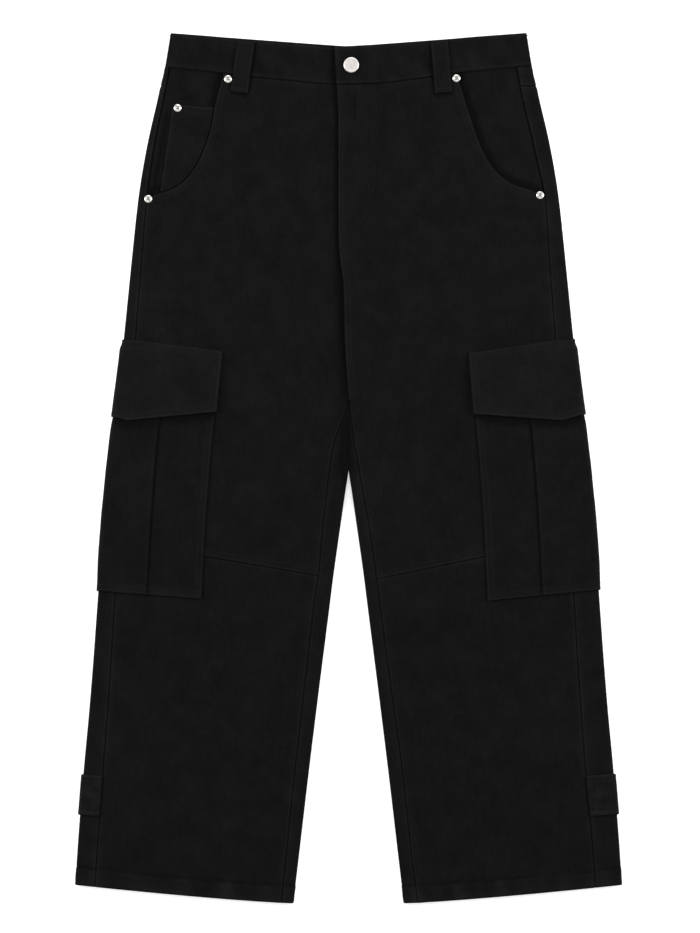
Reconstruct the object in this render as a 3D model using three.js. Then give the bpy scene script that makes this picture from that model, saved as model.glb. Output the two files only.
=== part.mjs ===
// Cargo pants with wide legs, laid flat on their back, front up.
// Millimetres. X runs across the garment, Y from the hems up to the waist, Z up from the floor.
// Left and right are the wearer's, so the right leg lies at -X.

import * as THREE from 'three';

// Cloth and seams
const MIDDLE = 522.87; // half-way height, measured down from the waist's corners as all heights are
const WALL = 1.5; // one layer of twill
const BAND_WALL = 2.6; // the waistband's two layers and interlining
const HEM_EXTRA = 0.8; // the turned-up hem, on the inside
const HEM_DEPTH = 21.6;
const SEAM = 0.3; // gap between pieces that are sewn together
const PLY = 0.4; // gap between layers that lie on each other

// Space inside the flat garment, between its front and its back
const AIR = { edge: 2.2, middle: 3 };
const BAND_AIR = { edge: 1.4, middle: 2.4 };
const LOFT_RUN = 45; // distance from a folded edge to where the full space is reached

// Heights down from the waist's corners
const CROTCH = 439.3;
const YOKE_SIDE = 64;
const YOKE_CENTRE = 115;
const KNEE = { right: { inner: 652, slope: 0.17 }, left: { inner: 656, slope: 0.208 } };
const HEM = { inner: 1045.3, rise: 22.2, innerAcross: 66, width: 263, bow: 1.25 };

// The legs' folded edges, from the centre line, a row for each height
const EDGES = [
  { down: 0, outer: 213.6, inner: 0.4 },
  { down: 47, outer: 221.5, inner: 0.4 },
  { down: 81, outer: 229.4, inner: 0.4 },
  { down: 139, outer: 242.6, inner: 0.4 },
  { down: 196, outer: 252.1, inner: 0.4 },
  { down: 268, outer: 260, inner: 0.4 },
  { down: 362, outer: 269.3, inner: 0.4 },
  { down: 439.3, outer: 278.2, inner: 0.4 },
  { down: 493, outer: 284.6, inner: 0.4 },
  { down: 528, outer: 288.6, inner: 0.6 },
  { down: 585, outer: 294.2, inner: 8.7 },
  { down: 657, outer: 299.4, inner: 18.8 },
  { down: 686, outer: 301.5, inner: 22.4 },
  { down: 801, outer: 310.4, inner: 37 },
  { down: 887, outer: 318.1, inner: 47.6 },
  { down: 988, outer: 326, inner: 59.5 },
  { down: 1045.3, outer: 329.6, inner: 66.3 },
];

// How far the side seam lies in from the outer edge, and the inseam from the inner one
const SEAMS = [
  { down: 0, sideRight: 5, sideLeft: 18.5, inseamRight: 3.4, inseamLeft: 3.4 },
  { down: 47, sideRight: 5.5, sideLeft: 18.6, inseamRight: 3.4, inseamLeft: 3.4 },
  { down: 81, sideRight: 6.8, sideLeft: 20, inseamRight: 3.4, inseamLeft: 3.4 },
  { down: 139, sideRight: 8.6, sideLeft: 19.6, inseamRight: 3.4, inseamLeft: 3.4 },
  { down: 196, sideRight: 10.2, sideLeft: 16.6, inseamRight: 3.4, inseamLeft: 3.4 },
  { down: 268, sideRight: 12, sideLeft: 19.5, inseamRight: 3.4, inseamLeft: 3.4 },
  { down: 362, sideRight: 14.2, sideLeft: 21.8, inseamRight: 3.4, inseamLeft: 3.4 },
  { down: 439.3, sideRight: 16, sideLeft: 24.4, inseamRight: 3.4, inseamLeft: 3.4 },
  { down: 493, sideRight: 17, sideLeft: 26, inseamRight: 16.8, inseamLeft: 6.6 },
  { down: 528, sideRight: 18, sideLeft: 27, inseamRight: 23, inseamLeft: 12.6 },
  { down: 585, sideRight: 19.2, sideLeft: 28.6, inseamRight: 21.6, inseamLeft: 14.8 },
  { down: 657, sideRight: 20.5, sideLeft: 30.3, inseamRight: 18.2, inseamLeft: 15.2 },
  { down: 686, sideRight: 21, sideLeft: 31, inseamRight: 19, inseamLeft: 15 },
  { down: 801, sideRight: 22.3, sideLeft: 32.5, inseamRight: 17.6, inseamLeft: 16 },
  { down: 887, sideRight: 23.5, sideLeft: 34, inseamRight: 17, inseamLeft: 17 },
  { down: 988, sideRight: 24.2, sideLeft: 32.4, inseamRight: 15.4, inseamLeft: 16.3 },
  { down: 1045.3, sideRight: 23.3, sideLeft: 31.8, inseamRight: 14.8, inseamLeft: 16.7 },
];

// Heights where the side seam and the inseam have their corners, and the leg panels their rows.
// Above the crotch the inseam's column follows the centre back.
const STATIONS = [
  { side: 40, inseam: 60 },
  { side: 64, inseam: 115 },
  { side: 105, inseam: 160 },
  { side: 150, inseam: 205 },
  { side: 198, inseam: 250 },
  { side: 240, inseam: 300 },
  { side: 285, inseam: 350 },
  { side: 325, inseam: 395 },
  { side: 360, inseam: 425 },
  { side: 385, inseam: 438.8 },
  { side: 392, inseam: 440.8 },
  { side: 420, inseam: 458 },
  { side: 450, inseam: 476 },
  { side: 480, inseam: 495 },
  { side: 510, inseam: 515 },
  { side: 540, inseam: 540 },
  { side: 570, inseam: 570 },
  { side: 600, inseam: 605 },
  { side: 640, inseam: 640 },
  { side: 680, inseam: 680 },
  { side: 725, inseam: 720 },
  { side: 765, inseam: 765 },
  { side: 805, inseam: 810 },
  { side: 845, inseam: 855 },
  { side: 880, inseam: 895 },
  { side: 915, inseam: 930 },
  { side: 945, inseam: 965 },
  { side: 975, inseam: 1000 },
  { side: 1000, inseam: 1021.7 },
  { side: 1002, inseam: 1023.7 },
  { side: 1023.1, inseam: 1045.3 },
];

// The waistband's top edge and its lower seam, a row for each place across the front
const WAIST = [
  { across: -222, top: 0, seam: 41 },
  { across: -155, top: 5.4, seam: 48.2 },
  { across: -118, top: 9.2, seam: 52.8 },
  { across: -65, top: 13.6, seam: 58 },
  { across: -16, top: 16.8, seam: 62 },
  { across: 27, top: 15, seam: 61 },
  { across: 100, top: 10, seam: 53 },
  { across: 137, top: 6.4, seam: 47.6 },
  { across: 220, top: 0, seam: 39.6 },
];

// The front's centre line, a row for each height.
// lap is the edge of the left front, which lies over the right one.
// under is how far the right one reaches below it.
// rise lifts the left front and sink lowers the right one beside that edge.
const CENTRE = [
  { down: 20, lap: -16.6, under: 16, rise: 1, sink: 1 },
  { down: 61, lap: -14.6, under: 16, rise: 1, sink: 1 },
  { down: 105, lap: -12.7, under: 16, rise: 1, sink: 1 },
  { down: 240, lap: -12.7, under: 16, rise: 1, sink: 1 },
  { down: 268, lap: -10.8, under: 9, rise: 1, sink: 1.1 },
  { down: 310, lap: -6.1, under: 3, rise: 0.8, sink: 1.7 },
  { down: 350, lap: -5.4, under: 3, rise: 0.8, sink: 1.8 },
  { down: 385, lap: -4.1, under: -0.5, rise: 0.8, sink: 1.6 },
  { down: 425, lap: -1.4, under: -0.5, rise: 0.3, sink: 0.6 },
  { down: 439.3, lap: 0.2, under: -0.5, rise: 0, sink: 0.3 },
];
// The left front stays risen over flat and falls over fall. Both change from the fly to the seam below it.
// The right front sinks over sinkFall.
const LAP_SHAPE = {
  flyEnd: 240,
  seamStart: 310,
  flyFlat: 12,
  seamFlat: 4,
  flyFall: 34,
  seamFall: 16,
  sinkGap: 1,
  sinkFall: 16,
};

// The slant pockets' mouths, from the waist seam to the side seam
const MOUTH = {
  right: [
    { across: 150.5, down: 49 },
    { across: 154.9, down: 65 },
    { across: 161.2, down: 89.5 },
    { across: 165, down: 112.3 },
    { across: 170.8, down: 131.5 },
    { across: 178.7, down: 151.3 },
    { across: 188.4, down: 167.5 },
    { across: 200.8, down: 180.7 },
    { across: 214.8, down: 188.6 },
    { across: 228.8, down: 193.3 },
    { across: 242.1, down: 198 },
  ],
  left: [
    { across: 130, down: 49 },
    { across: 135, down: 64.7 },
    { across: 146, down: 99.7 },
    { across: 159, down: 136.3 },
    { across: 173.6, down: 162.2 },
    { across: 192.1, down: 178.8 },
    { across: 206.8, down: 185.3 },
    { across: 221.5, down: 189.5 },
    { across: 235.4, down: 196 },
  ],
};

// Cargo pockets, measured across from the side seam and along it from the flap's top
const POCKET = {
  half: 104,
  start: 14,
  end: 303,
  pleat: 37, // half the centre strip between the pleat's folds
  pleatStep: 1.4,
  pleatHeight: 1.4,
  puff: 0.7,
  opensUnder: 2, // where the pleat opens, past the flap's end: under the leg, and on the front
  opensFront: -15,
  openRun: 24,
  footShare: 0.75, // how much the pleat closes again at the foot
  footRun: 40,
};
const FLAP = {
  half: 105.5,
  top: 369,
  length: 96.5,
  topSlope: 0.045,
  endSlope: 0.175,
  wall: 1.8,
  underWall: 1,
  flare: 1.5,
  stepFrom: 5, // where it climbs onto the pocket
};
const POCKET_TILT = { right: 0.077, left: 0.102 };
const TAB = { top: 892, length: 48, reach: 72, wall: 2.2, tilt: 0.06, seamGap: 0.2 };
// The cargo pockets and hem tabs go round to the back, so the garment lies on them.
// It is lifted between from and to, and settles to the floor over run.
const POCKET_LIFT = { from: 340, to: 690, run: 60 };
const TAB_LIFT = { from: 872, to: 960, run: 50, across: 24 };

// Hardware
const BUTTON = { across: 3.2, down: 39.4, radius: 9.3, height: 3.2, segments: 24 };
const RIVET = { radius: 4.8, height: 1.8, segments: 12 };
const LOOP = {
  width: 20.4,
  length: 62,
  wall: 1.6,
  rise: 1.2, // how far it stands off the band, up to bowEnd of its length
  bowEnd: 0.8,
  topGap: 0.6,
  stepFrom: 1.5, // below the waist seam it steps down to the leg
  stepTo: 8,
  edgeDrop: 0.25,
};

// Soft ridges and troughs of the front, from one end to the other
const FOLDS = [
  { fromAcross: -30, fromDown: 400, toAcross: -150, toDown: 300, width: 16, height: 0.5 },
  { fromAcross: -22, fromDown: 440, toAcross: -120, toDown: 400, width: 12, height: -0.4 },
  { fromAcross: 26, fromDown: 395, toAcross: 135, toDown: 290, width: 16, height: 0.5 },
  { fromAcross: 20, fromDown: 445, toAcross: 110, toDown: 415, width: 12, height: -0.4 },
  { fromAcross: -60, fromDown: 500, toAcross: -110, toDown: 640, width: 22, height: 0.45 },
  { fromAcross: 60, fromDown: 520, toAcross: 120, toDown: 650, width: 20, height: 0.5 },
  { fromAcross: -120, fromDown: 700, toAcross: -150, toDown: 930, width: 26, height: 0.55 },
  { fromAcross: -215, fromDown: 740, toAcross: -240, toDown: 960, width: 20, height: -0.45 },
  { fromAcross: 130, fromDown: 720, toAcross: 145, toDown: 940, width: 24, height: 0.5 },
  { fromAcross: 225, fromDown: 760, toAcross: 250, toDown: 950, width: 20, height: -0.4 },
  { fromAcross: -90, fromDown: 110, toAcross: -70, toDown: 230, width: 22, height: 0.4 },
  { fromAcross: 80, fromDown: 120, toAcross: 95, toDown: 240, width: 22, height: 0.35 },
];

const CLOTH_COLOUR = '#17171a';
const METAL_COLOUR = '#c9c5c0';

const mix = THREE.MathUtils.lerp;
const ramp = (from, to, x) => THREE.MathUtils.smoothstep(x, from, to);
const steps = (count) => Array.from({ length: count + 1 }, (_, i) => i / count);
const signOf = (side) => (side === 'left' ? 1 : -1);

// Reads a column of a table at a place between its rows, without overshoot
function read(table, key, column, place) {
  const at = THREE.MathUtils.clamp(place, table[0][key], table[table.length - 1][key]);
  let i = 0;
  while (i < table.length - 2 && table[i + 1][key] < at) i += 1;
  const slope = (k) => (table[k + 1][column] - table[k][column]) / (table[k + 1][key] - table[k][key]);
  const tangent = (k) => {
    if (k === 0) return slope(0);
    if (k === table.length - 1) return slope(k - 1);
    const before = slope(k - 1);
    const after = slope(k);
    return before * after <= 0 ? 0 : (2 * before * after) / (before + after);
  };
  const run = table[i + 1][key] - table[i][key];
  const t = (at - table[i][key]) / run;
  const rest = 1 - t;
  return (
    (1 + 2 * t) * rest * rest * table[i][column] +
    t * rest * rest * run * tangent(i) +
    t * t * (3 - 2 * t) * table[i + 1][column] -
    t * t * rest * run * tangent(i + 1)
  );
}

const outer = (down) => read(EDGES, 'down', 'outer', down);
const inner = (down) => read(EDGES, 'down', 'inner', down);
const seamAt = (column, down) => read(SEAMS, 'down', column, down);
const sideSeam = (side, down) => seamAt(side === 'left' ? 'sideLeft' : 'sideRight', down);
const inseam = (side, down) => seamAt(side === 'left' ? 'inseamLeft' : 'inseamRight', down);

// The seams run straight between the stations
function alongStations(key, across, down) {
  let i = 0;
  while (i < STATIONS.length - 2 && STATIONS[i + 1][key] < down) i += 1;
  const from = STATIONS[i][key];
  const to = STATIONS[i + 1][key];
  return mix(across(from), across(to), (down - from) / (to - from));
}

const sideLine = (side, down) => alongStations('side', (at) => outer(at) - sideSeam(side, at), down);
const inseamLine = (side, down) => alongStations('inseam', (at) => inner(at) + inseam(side, at), down);
const waistTop = (side, across) => read(WAIST, 'across', 'top', signOf(side) * across);
const waistSeam = (side, across) => read(WAIST, 'across', 'seam', signOf(side) * across);
// At the back the band's edges run straight from the sides to the centre back
const BAND_SIDE = 205;
const straightBack = (edge) => (side, across) =>
  across > BAND_SIDE ? edge(side, across) : mix(edge('left', 0), edge(side, BAND_SIDE), across / BAND_SIDE);
const backTop = straightBack(waistTop);
const backSeam = straightBack(waistSeam);
const hem = (across) => HEM.inner - HEM.rise * Math.max(0, (across - HEM.innerAcross) / HEM.width) ** HEM.bow;

// The fold of an edge is half a circle of this radius
const foldRadius = (wall, air) => wall + air.edge / 2;
const RADIUS = foldRadius(WALL, AIR);
const QUARTER = (Math.PI / 2) * RADIUS;
const BAND_RADIUS = foldRadius(BAND_WALL, BAND_AIR);
const BAND_QUARTER = (Math.PI / 2) * BAND_RADIUS;
// The side seam's place round the leg, from its folded edge
const seamRound = (side, down) => QUARTER + sideSeam(side, down) - RADIUS;

// 1 between from and to, falling to 0 over run on both sides
const plateau = ({ from, to, run }, down) => ramp(from - run, from, down) * (1 - ramp(to, to + run, down));

// How far the leg is lifted off the floor by the pocket, flap and tab that lie under it
function lift(side, across, down) {
  const underTab = outer(down) + sideSeam(side, down) - TAB.reach - TAB_LIFT.across;
  const tab = plateau(TAB_LIFT, down) * ramp(underTab - TAB_LIFT.run, underTab, across);
  return plateau(POCKET_LIFT, down) * (PLY + WALL + PLY + FLAP.underWall) + tab * (PLY + TAB.wall);
}

function folds(x, down) {
  let height = 0;
  for (const fold of FOLDS) {
    const runX = fold.toAcross - fold.fromAcross;
    const runDown = fold.toDown - fold.fromDown;
    const length = Math.hypot(runX, runDown);
    const along = ((x - fold.fromAcross) * runX + (down - fold.fromDown) * runDown) / length;
    const beside = ((x - fold.fromAcross) * runDown - (down - fold.fromDown) * runX) / length;
    const taper = Math.sin(Math.PI * THREE.MathUtils.clamp(along / length, 0, 1)) ** 2;
    height += fold.height * taper * Math.exp(-((beside / fold.width) ** 2));
  }
  return height;
}

// Lift of the left front, or sinking of the right one, beside the centre line
function centreShape(side, across, down) {
  if (down > CROTCH) return 0;
  const lap = read(CENTRE, 'down', 'lap', down);
  if (side === 'left') {
    const belowFly = ramp(LAP_SHAPE.flyEnd, LAP_SHAPE.seamStart, down);
    const flat = mix(LAP_SHAPE.flyFlat, lap + LAP_SHAPE.seamFlat, belowFly);
    const fall = mix(LAP_SHAPE.flyFall, LAP_SHAPE.seamFall, belowFly);
    return read(CENTRE, 'down', 'rise', down) * (1 - ramp(flat, flat + fall, across));
  }
  const sinkStart = LAP_SHAPE.sinkGap - lap;
  return -read(CENTRE, 'down', 'sink', down) * (1 - ramp(sinkStart, sinkStart + LAP_SHAPE.sinkFall, across));
}

// Distance to the nearest folded edge. Above the crotch the inner edge fades out.
const CROTCH_FADE = 0.8;

function edgeDistance(across, down) {
  const aboveCrotch = Math.max(0, across) + (CROTCH - down) * CROTCH_FADE + RADIUS;
  const fromInner = down > CROTCH ? across - inner(down) : aboveCrotch;
  return Math.min(outer(down) - across, fromInner);
}

// Height of the front's outer face
function frontTop(side, across, down, wall = WALL, air = AIR) {
  const distance = edgeDistance(across, down);
  const space = mix(air.edge, air.middle, ramp(foldRadius(wall, air), LOFT_RUN, distance));
  const shape = folds(signOf(side) * across, down) * ramp(foldRadius(wall, air), LOFT_RUN, distance);
  return lift(side, across, down) + 2 * wall + space + shape;
}

// A point on the leg's outer face, moved out by out.
// round is the distance round the leg from its folded edge: above 0 over the front, below 0 under the back.
function skin(side, edge, down, round, out, wall = WALL, air = AIR) {
  const radius = foldRadius(wall, air);
  const quarter = (Math.PI / 2) * radius;
  const fold = edge === 'outer' ? outer(down) : inner(down);
  const inward = edge === 'outer' ? -1 : 1;
  if (Math.abs(round) <= quarter) {
    const angle = round / radius;
    const across = fold + inward * (radius - (radius + out) * Math.cos(angle));
    return { across, height: lift(side, fold, down) + radius + (radius + out) * Math.sin(angle) };
  }
  const across = fold + inward * (radius + Math.abs(round) - quarter);
  if (round > 0) return { across, height: frontTop(side, across, down, wall, air) + out };
  return { across, height: lift(side, across, down) - out };
}

const toPoint = (side, across, down, height) => [signOf(side) * across, MIDDLE - down, height];

// A closed wall over a grid: an outer and an inner face, joined round the rim
function makeWall(columns, rows, pointsAt) {
  const positions = [];
  const index = [];
  for (const layer of [0, 1]) {
    for (const v of rows) {
      for (const u of columns) positions.push(...pointsAt(u, v)[layer]);
    }
  }
  const width = columns.length;
  const height = rows.length;
  const at = (layer, row, column) => (layer * height + row) * width + column;
  const quad = (a, b, c, d) => index.push(a, b, c, a, c, d);
  for (let row = 0; row < height - 1; row += 1) {
    for (let column = 0; column < width - 1; column += 1) {
      quad(at(0, row, column), at(0, row + 1, column), at(0, row + 1, column + 1), at(0, row, column + 1));
      quad(at(1, row, column), at(1, row, column + 1), at(1, row + 1, column + 1), at(1, row + 1, column));
    }
    quad(at(0, row, 0), at(1, row, 0), at(1, row + 1, 0), at(0, row + 1, 0));
    quad(at(0, row, width - 1), at(0, row + 1, width - 1), at(1, row + 1, width - 1), at(1, row, width - 1));
  }
  for (let column = 0; column < width - 1; column += 1) {
    quad(at(0, 0, column), at(0, 0, column + 1), at(1, 0, column + 1), at(1, 0, column));
    const last = height - 1;
    quad(at(0, last, column), at(1, last, column), at(1, last, column + 1), at(0, last, column + 1));
  }
  if (enclosedVolume(positions, index) < 0) index.reverse();
  const geometry = new THREE.BufferGeometry();
  geometry.setAttribute('position', new THREE.Float32BufferAttribute(positions, 3));
  geometry.setIndex(index);
  geometry.computeVertexNormals();
  return geometry;
}

function enclosedVolume(positions, index) {
  const corner = (i) => new THREE.Vector3().fromArray(positions, index[i] * 3);
  let sum = 0;
  for (let i = 0; i < index.length; i += 3) sum += corner(i).dot(corner(i + 1).cross(corner(i + 2)));
  return sum / 6;
}

// A patch inside four border curves, each from 0 to 1
function patch({ top, bottom, start, end }) {
  return (u, v) => {
    const blend = (axis) =>
      mix(top(u)[axis], bottom(u)[axis], v) +
      mix(start(v)[axis], end(v)[axis], u) -
      mix(mix(top(0)[axis], top(1)[axis], u), mix(bottom(0)[axis], bottom(1)[axis], u), v);
    return [blend(0), blend(1)];
  };
}

const cloth = new THREE.MeshStandardMaterial({ color: CLOTH_COLOUR, roughness: 0.92, metalness: 0 });
const metal = new THREE.MeshStandardMaterial({ color: METAL_COLOUR, roughness: 0.3, metalness: 1 });
const pants = new THREE.Group();

function addPiece(name, geometry, material = cloth) {
  const mesh = new THREE.Mesh(geometry, material.clone());
  mesh.name = name;
  pants.add(mesh);
}

// The wall gets thicker on its inside at the hem
const HEM_STEP = 1;

function hemWall(across, down) {
  const stitching = hem(across) - HEM_DEPTH;
  return WALL + HEM_EXTRA * ramp(stitching - HEM_STEP, stitching + HEM_STEP, down);
}

// A wall on the front, from a map of flat places to a height over the front's face
function frontWall(side, map, columns, rows, out, wallAt) {
  return makeWall(columns, rows, (u, v) => {
    const [across, down] = map(u, v);
    const top = frontTop(side, across, down) + centreShape(side, across, down) + out;
    return [toPoint(side, across, down, top), toPoint(side, across, down, top - wallAt(across, down))];
  });
}

function mouthCurve(side) {
  return new THREE.SplineCurve(MOUTH[side].map((row) => new THREE.Vector2(row.across, row.down)));
}

const mouthEnd = (side) => MOUTH[side][MOUTH[side].length - 1].down;

function kneeAt(side, across) {
  const { inner: kneeInner, slope } = KNEE[side];
  return kneeInner - slope * (across - inseamLine(side, kneeInner));
}

const kneeSide = (side) => {
  let down = KNEE[side].inner;
  for (let pass = 0; pass < 5; pass += 1) down = kneeAt(side, sideLine(side, down));
  return down;
};

const MOUTH_ROWS = 10;
const CENTRE_ROWS = 13;
const FRONT_COLUMNS = [0, 0.04, 0.11, 0.2, 0.3, 0.41, 0.52, 0.63, 0.73, 0.82, 0.89, 0.94, 0.97, 1];
const LOWER_COLUMNS = 10;
// The fronts' crotch corner stays clear of the backs, which come round the inner edge there
const CROTCH_GAP = 0.4;
const CROTCH_ABOVE = 1.4;
const CROTCH_BELOW = 1.5;

// Stations of a seam between two heights, with both of them
const stationsBetween = (key, from, to) => [
  from,
  ...STATIONS.map((station) => station[key]).filter((down) => down > from + 1 && down < to - 1),
  to,
];

// Reads a list of points as a border curve
const listCurve = (points) => (v) => points[Math.round(v * (points.length - 1))];

function centreEdge(side, down) {
  const lap = read(CENTRE, 'down', 'lap', down);
  if (side === 'left') return lap;
  return -(lap + read(CENTRE, 'down', 'under', down));
}

// Front legs, cut at the knee seam
function frontUpper(side) {
  const mouth = mouthCurve(side);
  const sideRows = stationsBetween('side', mouthEnd(side), kneeSide(side) - SEAM / 2);
  const mouthPoints = steps(MOUTH_ROWS).slice(0, -1).map((t) => mouth.getPointAt(t).toArray());
  const startPoints = [...mouthPoints, ...sideRows.map((down) => [sideLine(side, down) - SEAM / 2, down])];
  const topDown = waistSeam(side, 0) + SEAM;
  const centreRows = steps(CENTRE_ROWS).map((t) => mix(topDown, CROTCH - CROTCH_ABOVE, t));
  const inseamRows = stationsBetween('inseam', CROTCH + CROTCH_BELOW, KNEE[side].inner - SEAM / 2);
  const endPoints = [
    ...centreRows.map((down) => [centreEdge(side, down), down]),
    [inseamLine(side, CROTCH) + SEAM / 2, CROTCH - CROTCH_GAP],
    ...inseamRows.map((down) => [inseamLine(side, down) + SEAM / 2, down]),
  ];
  const top = (u) => {
    const across = mix(startPoints[0][0], endPoints[0][0], u);
    return [across, waistSeam(side, across) + SEAM];
  };
  startPoints[0] = top(0);
  endPoints[0] = top(1);
  const kneeStart = startPoints[startPoints.length - 1];
  const kneeEnd = endPoints[endPoints.length - 1];
  const bottom = (u) => [mix(kneeStart[0], kneeEnd[0], u), mix(kneeStart[1], kneeEnd[1], u)];
  const map = patch({ top, bottom, start: listCurve(startPoints), end: listCurve(endPoints) });
  return frontWall(side, map, FRONT_COLUMNS, steps(startPoints.length - 1), 0, () => WALL);
}

function frontLower(side) {
  const hemSide = STATIONS[STATIONS.length - 1].side;
  const sideRows = stationsBetween('side', kneeSide(side) + SEAM / 2, hemSide);
  const inseamRows = stationsBetween('inseam', KNEE[side].inner + SEAM / 2, HEM.inner);
  const firstGap = (inseamRows[0] + inseamRows[1]) / 2;
  inseamRows.splice(1, 0, firstGap);
  const startPoints = sideRows.map((down) => [sideLine(side, down) - SEAM / 2, down]);
  const endPoints = inseamRows.map((down) => [inseamLine(side, down) + SEAM / 2, down]);
  const last = startPoints.length - 1;
  const top = (u) => [mix(startPoints[0][0], endPoints[0][0], u), mix(startPoints[0][1], endPoints[0][1], u)];
  const bottom = (u) => {
    const across = mix(startPoints[last][0], endPoints[last][0], u);
    return [across, hem(across)];
  };
  startPoints[last] = bottom(0);
  endPoints[last] = bottom(1);
  const map = patch({ top, bottom, start: listCurve(startPoints), end: listCurve(endPoints) });
  return frontWall(side, map, steps(LOWER_COLUMNS), steps(last), 0, hemWall);
}

// Pocket facings lie under the fronts and show in the slant pockets' mouths
const FACING_UNDER = 14;
const FACING_FOOT = 16;
const FACING_TURN = { from: 0.35, to: 0.9 }; // its inner edge turns along the mouth's foot between these
const FACING_COLUMNS = 6;
const FACING_DROP = WALL + SEAM;

function pocketFacing(side) {
  const mouth = mouthCurve(side);
  const endDown = mouthEnd(side) + FACING_UNDER;
  const topDown = waistSeam(side, sideLine(side, STATIONS[0].side)) + SEAM;
  const sideRows = stationsBetween('side', topDown, endDown);
  const rowDowns = sideRows.flatMap((down, i) => (i === 0 ? [down] : [(down + sideRows[i - 1]) / 2, down]));
  const startPoints = rowDowns.map((down) => [sideLine(side, down) - SEAM / 2, down]);
  const start = listCurve(startPoints);
  const end = (v) => {
    const point = mouth.getPointAt(v);
    const turn = ramp(FACING_TURN.from, FACING_TURN.to, v);
    const across = point.x - FACING_UNDER * (1 - turn) - FACING_FOOT * turn;
    return v === 0 ? [across, waistSeam(side, across) + SEAM] : [across, point.y + FACING_UNDER * turn];
  };
  const top = (u) => {
    const across = mix(start(0)[0], end(0)[0], u);
    return [across, waistSeam(side, across) + SEAM];
  };
  const bottom = (u) => [mix(start(1)[0], end(1)[0], u), mix(start(1)[1], end(1)[1], u)];
  const map = patch({ top, bottom, start: (v) => (v === 0 ? top(0) : start(v)), end });
  return frontWall(side, map, steps(FACING_COLUMNS), steps(rowDowns.length - 1), -FACING_DROP, () => WALL);
}

// The coin pocket. Its free edge runs from (across, top) to (footAcross, foot).
// The opposite edge runs beside the slant pocket's mouth, between two shares of the mouth's length.
const COIN = {
  across: 211.5,
  top: 85.5,
  footAcross: 226.5,
  foot: 189.5,
  mouthFrom: 0.222,
  mouthTo: 0.9,
  inset: 1,
  wall: 1.1,
  columns: 5,
  rows: 8,
};

const COIN_OUT = -FACING_DROP + PLY + COIN.wall;

function coinPocket() {
  const mouth = mouthCurve('right');
  const start = (v) => [mix(COIN.across, COIN.footAcross, v), mix(COIN.top, COIN.foot, v)];
  const end = (v) => {
    const t = mix(COIN.mouthFrom, COIN.mouthTo, v);
    const point = mouth.getPointAt(t);
    const along = mouth.getTangentAt(t);
    return [point.x + COIN.inset * along.y, point.y - COIN.inset * along.x];
  };
  const top = (u) => [mix(start(0)[0], end(0)[0], u), mix(start(0)[1], end(0)[1], u)];
  const bottom = (u) => [mix(start(1)[0], end(1)[0], u), mix(start(1)[1], end(1)[1], u)];
  const map = patch({ top, bottom, start, end });
  return frontWall('right', map, steps(COIN.columns), steps(COIN.rows), COIN_OUT, () => COIN.wall);
}

// Places round a back piece, from the side seam on the front, round the outer edge, along the floor
// and, below the crotch, round the inner edge to the inseam
const ARC = steps(4);
const FLOOR_PLACES = [0.16, 0.33, 0.42, 0.52, 0.75];
const AROUND = [
  { zone: 'side', at: 0 },
  { zone: 'side', at: 0.5 },
  ...ARC.map((at) => ({ zone: 'outer', at })),
  ...FLOOR_PLACES.map((at) => ({ zone: 'floor', at })),
  ...ARC.map((at) => ({ zone: 'inner', at })),
  { zone: 'inseam', at: 0.5 },
  { zone: 'inseam', at: 1 },
];
const CENTRE_STRIP = 6;
const INNER_PLACES = ARC.length + 2;

function backPoint(side, place, down, out) {
  if (place.zone === 'side') {
    return skin(side, 'outer', down, mix(seamRound(side, down) - SEAM / 2, QUARTER, place.at), out);
  }
  if (place.zone === 'outer') return skin(side, 'outer', down, mix(QUARTER, -QUARTER, place.at), out);
  const split = down > CROTCH;
  if (place.zone === 'floor') {
    const end = split ? inner(down) + RADIUS : CENTRE_STRIP;
    const across = mix(outer(down) - RADIUS, end, place.at);
    return { across, height: lift(side, across, down) - out };
  }
  if (!split) {
    const order = place.zone === 'inner' ? place.at * (ARC.length - 1) : ARC.length - 1 + place.at * 2;
    const across = mix(CENTRE_STRIP, SEAM / 2, order / (INNER_PLACES - 1));
    return { across, height: lift(side, across, down) - out };
  }
  if (place.zone === 'inner') return skin(side, 'inner', down, mix(-QUARTER, QUARTER, place.at), out);
  const end = QUARTER + inseam(side, down) - RADIUS - SEAM / 2;
  return skin(side, 'inner', down, mix(QUARTER, end, place.at), out);
}

const placeAcross = (side, place, down) => backPoint(side, place, down, 0).across;

// downAt gives the height of a place on the back, from how far across it lies and how far down the piece
function backWall(side, places, rows, downAt, wallAt) {
  return makeWall(places, rows, (place, v) => {
    let down = downAt(placeAcross(side, place, downAt(0, v)), v);
    down = downAt(placeAcross(side, place, down), v);
    const wall = wallAt(placeAcross(side, place, down), down);
    return [0, -wall].map((out) => {
      const { across, height } = backPoint(side, place, down, out);
      return toPoint(side, across, down, height);
    });
  });
}

const YOKE_ROWS = 3;

function yokeSeam(across) {
  const share = THREE.MathUtils.clamp(across / sideLine('left', YOKE_SIDE), 0, 1);
  return mix(YOKE_CENTRE, YOKE_SIDE, share);
}

function backLeg(side) {
  const stations = STATIONS.slice(1);
  const last = stations.length - 1;
  const downAt = (across, row) => {
    const { side: sideDown, inseam: inseamDown } = stations[row];
    if (row === last) return hem(across);
    const from = sideLine(side, sideDown);
    const to = inseamDown > CROTCH ? inseamLine(side, inseamDown) : 0;
    const gap = row === 0 ? SEAM : 0;
    return mix(sideDown, inseamDown, THREE.MathUtils.clamp((across - from) / (to - from), 0, 1)) + gap;
  };
  return backWall(side, AROUND, stations.map((station, row) => row), downAt, hemWall);
}

function backYoke(side) {
  const upToCentre = AROUND.filter((place) => place.zone !== 'inseam' && place.zone !== 'inner');
  const places = [...upToCentre, { zone: 'inseam', at: 1 }];
  const downAt = (across, v) => mix(backSeam(side, across) + SEAM, yokeSeam(across), v);
  return backWall(side, places, steps(YOKE_ROWS), downAt, () => WALL);
}

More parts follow.
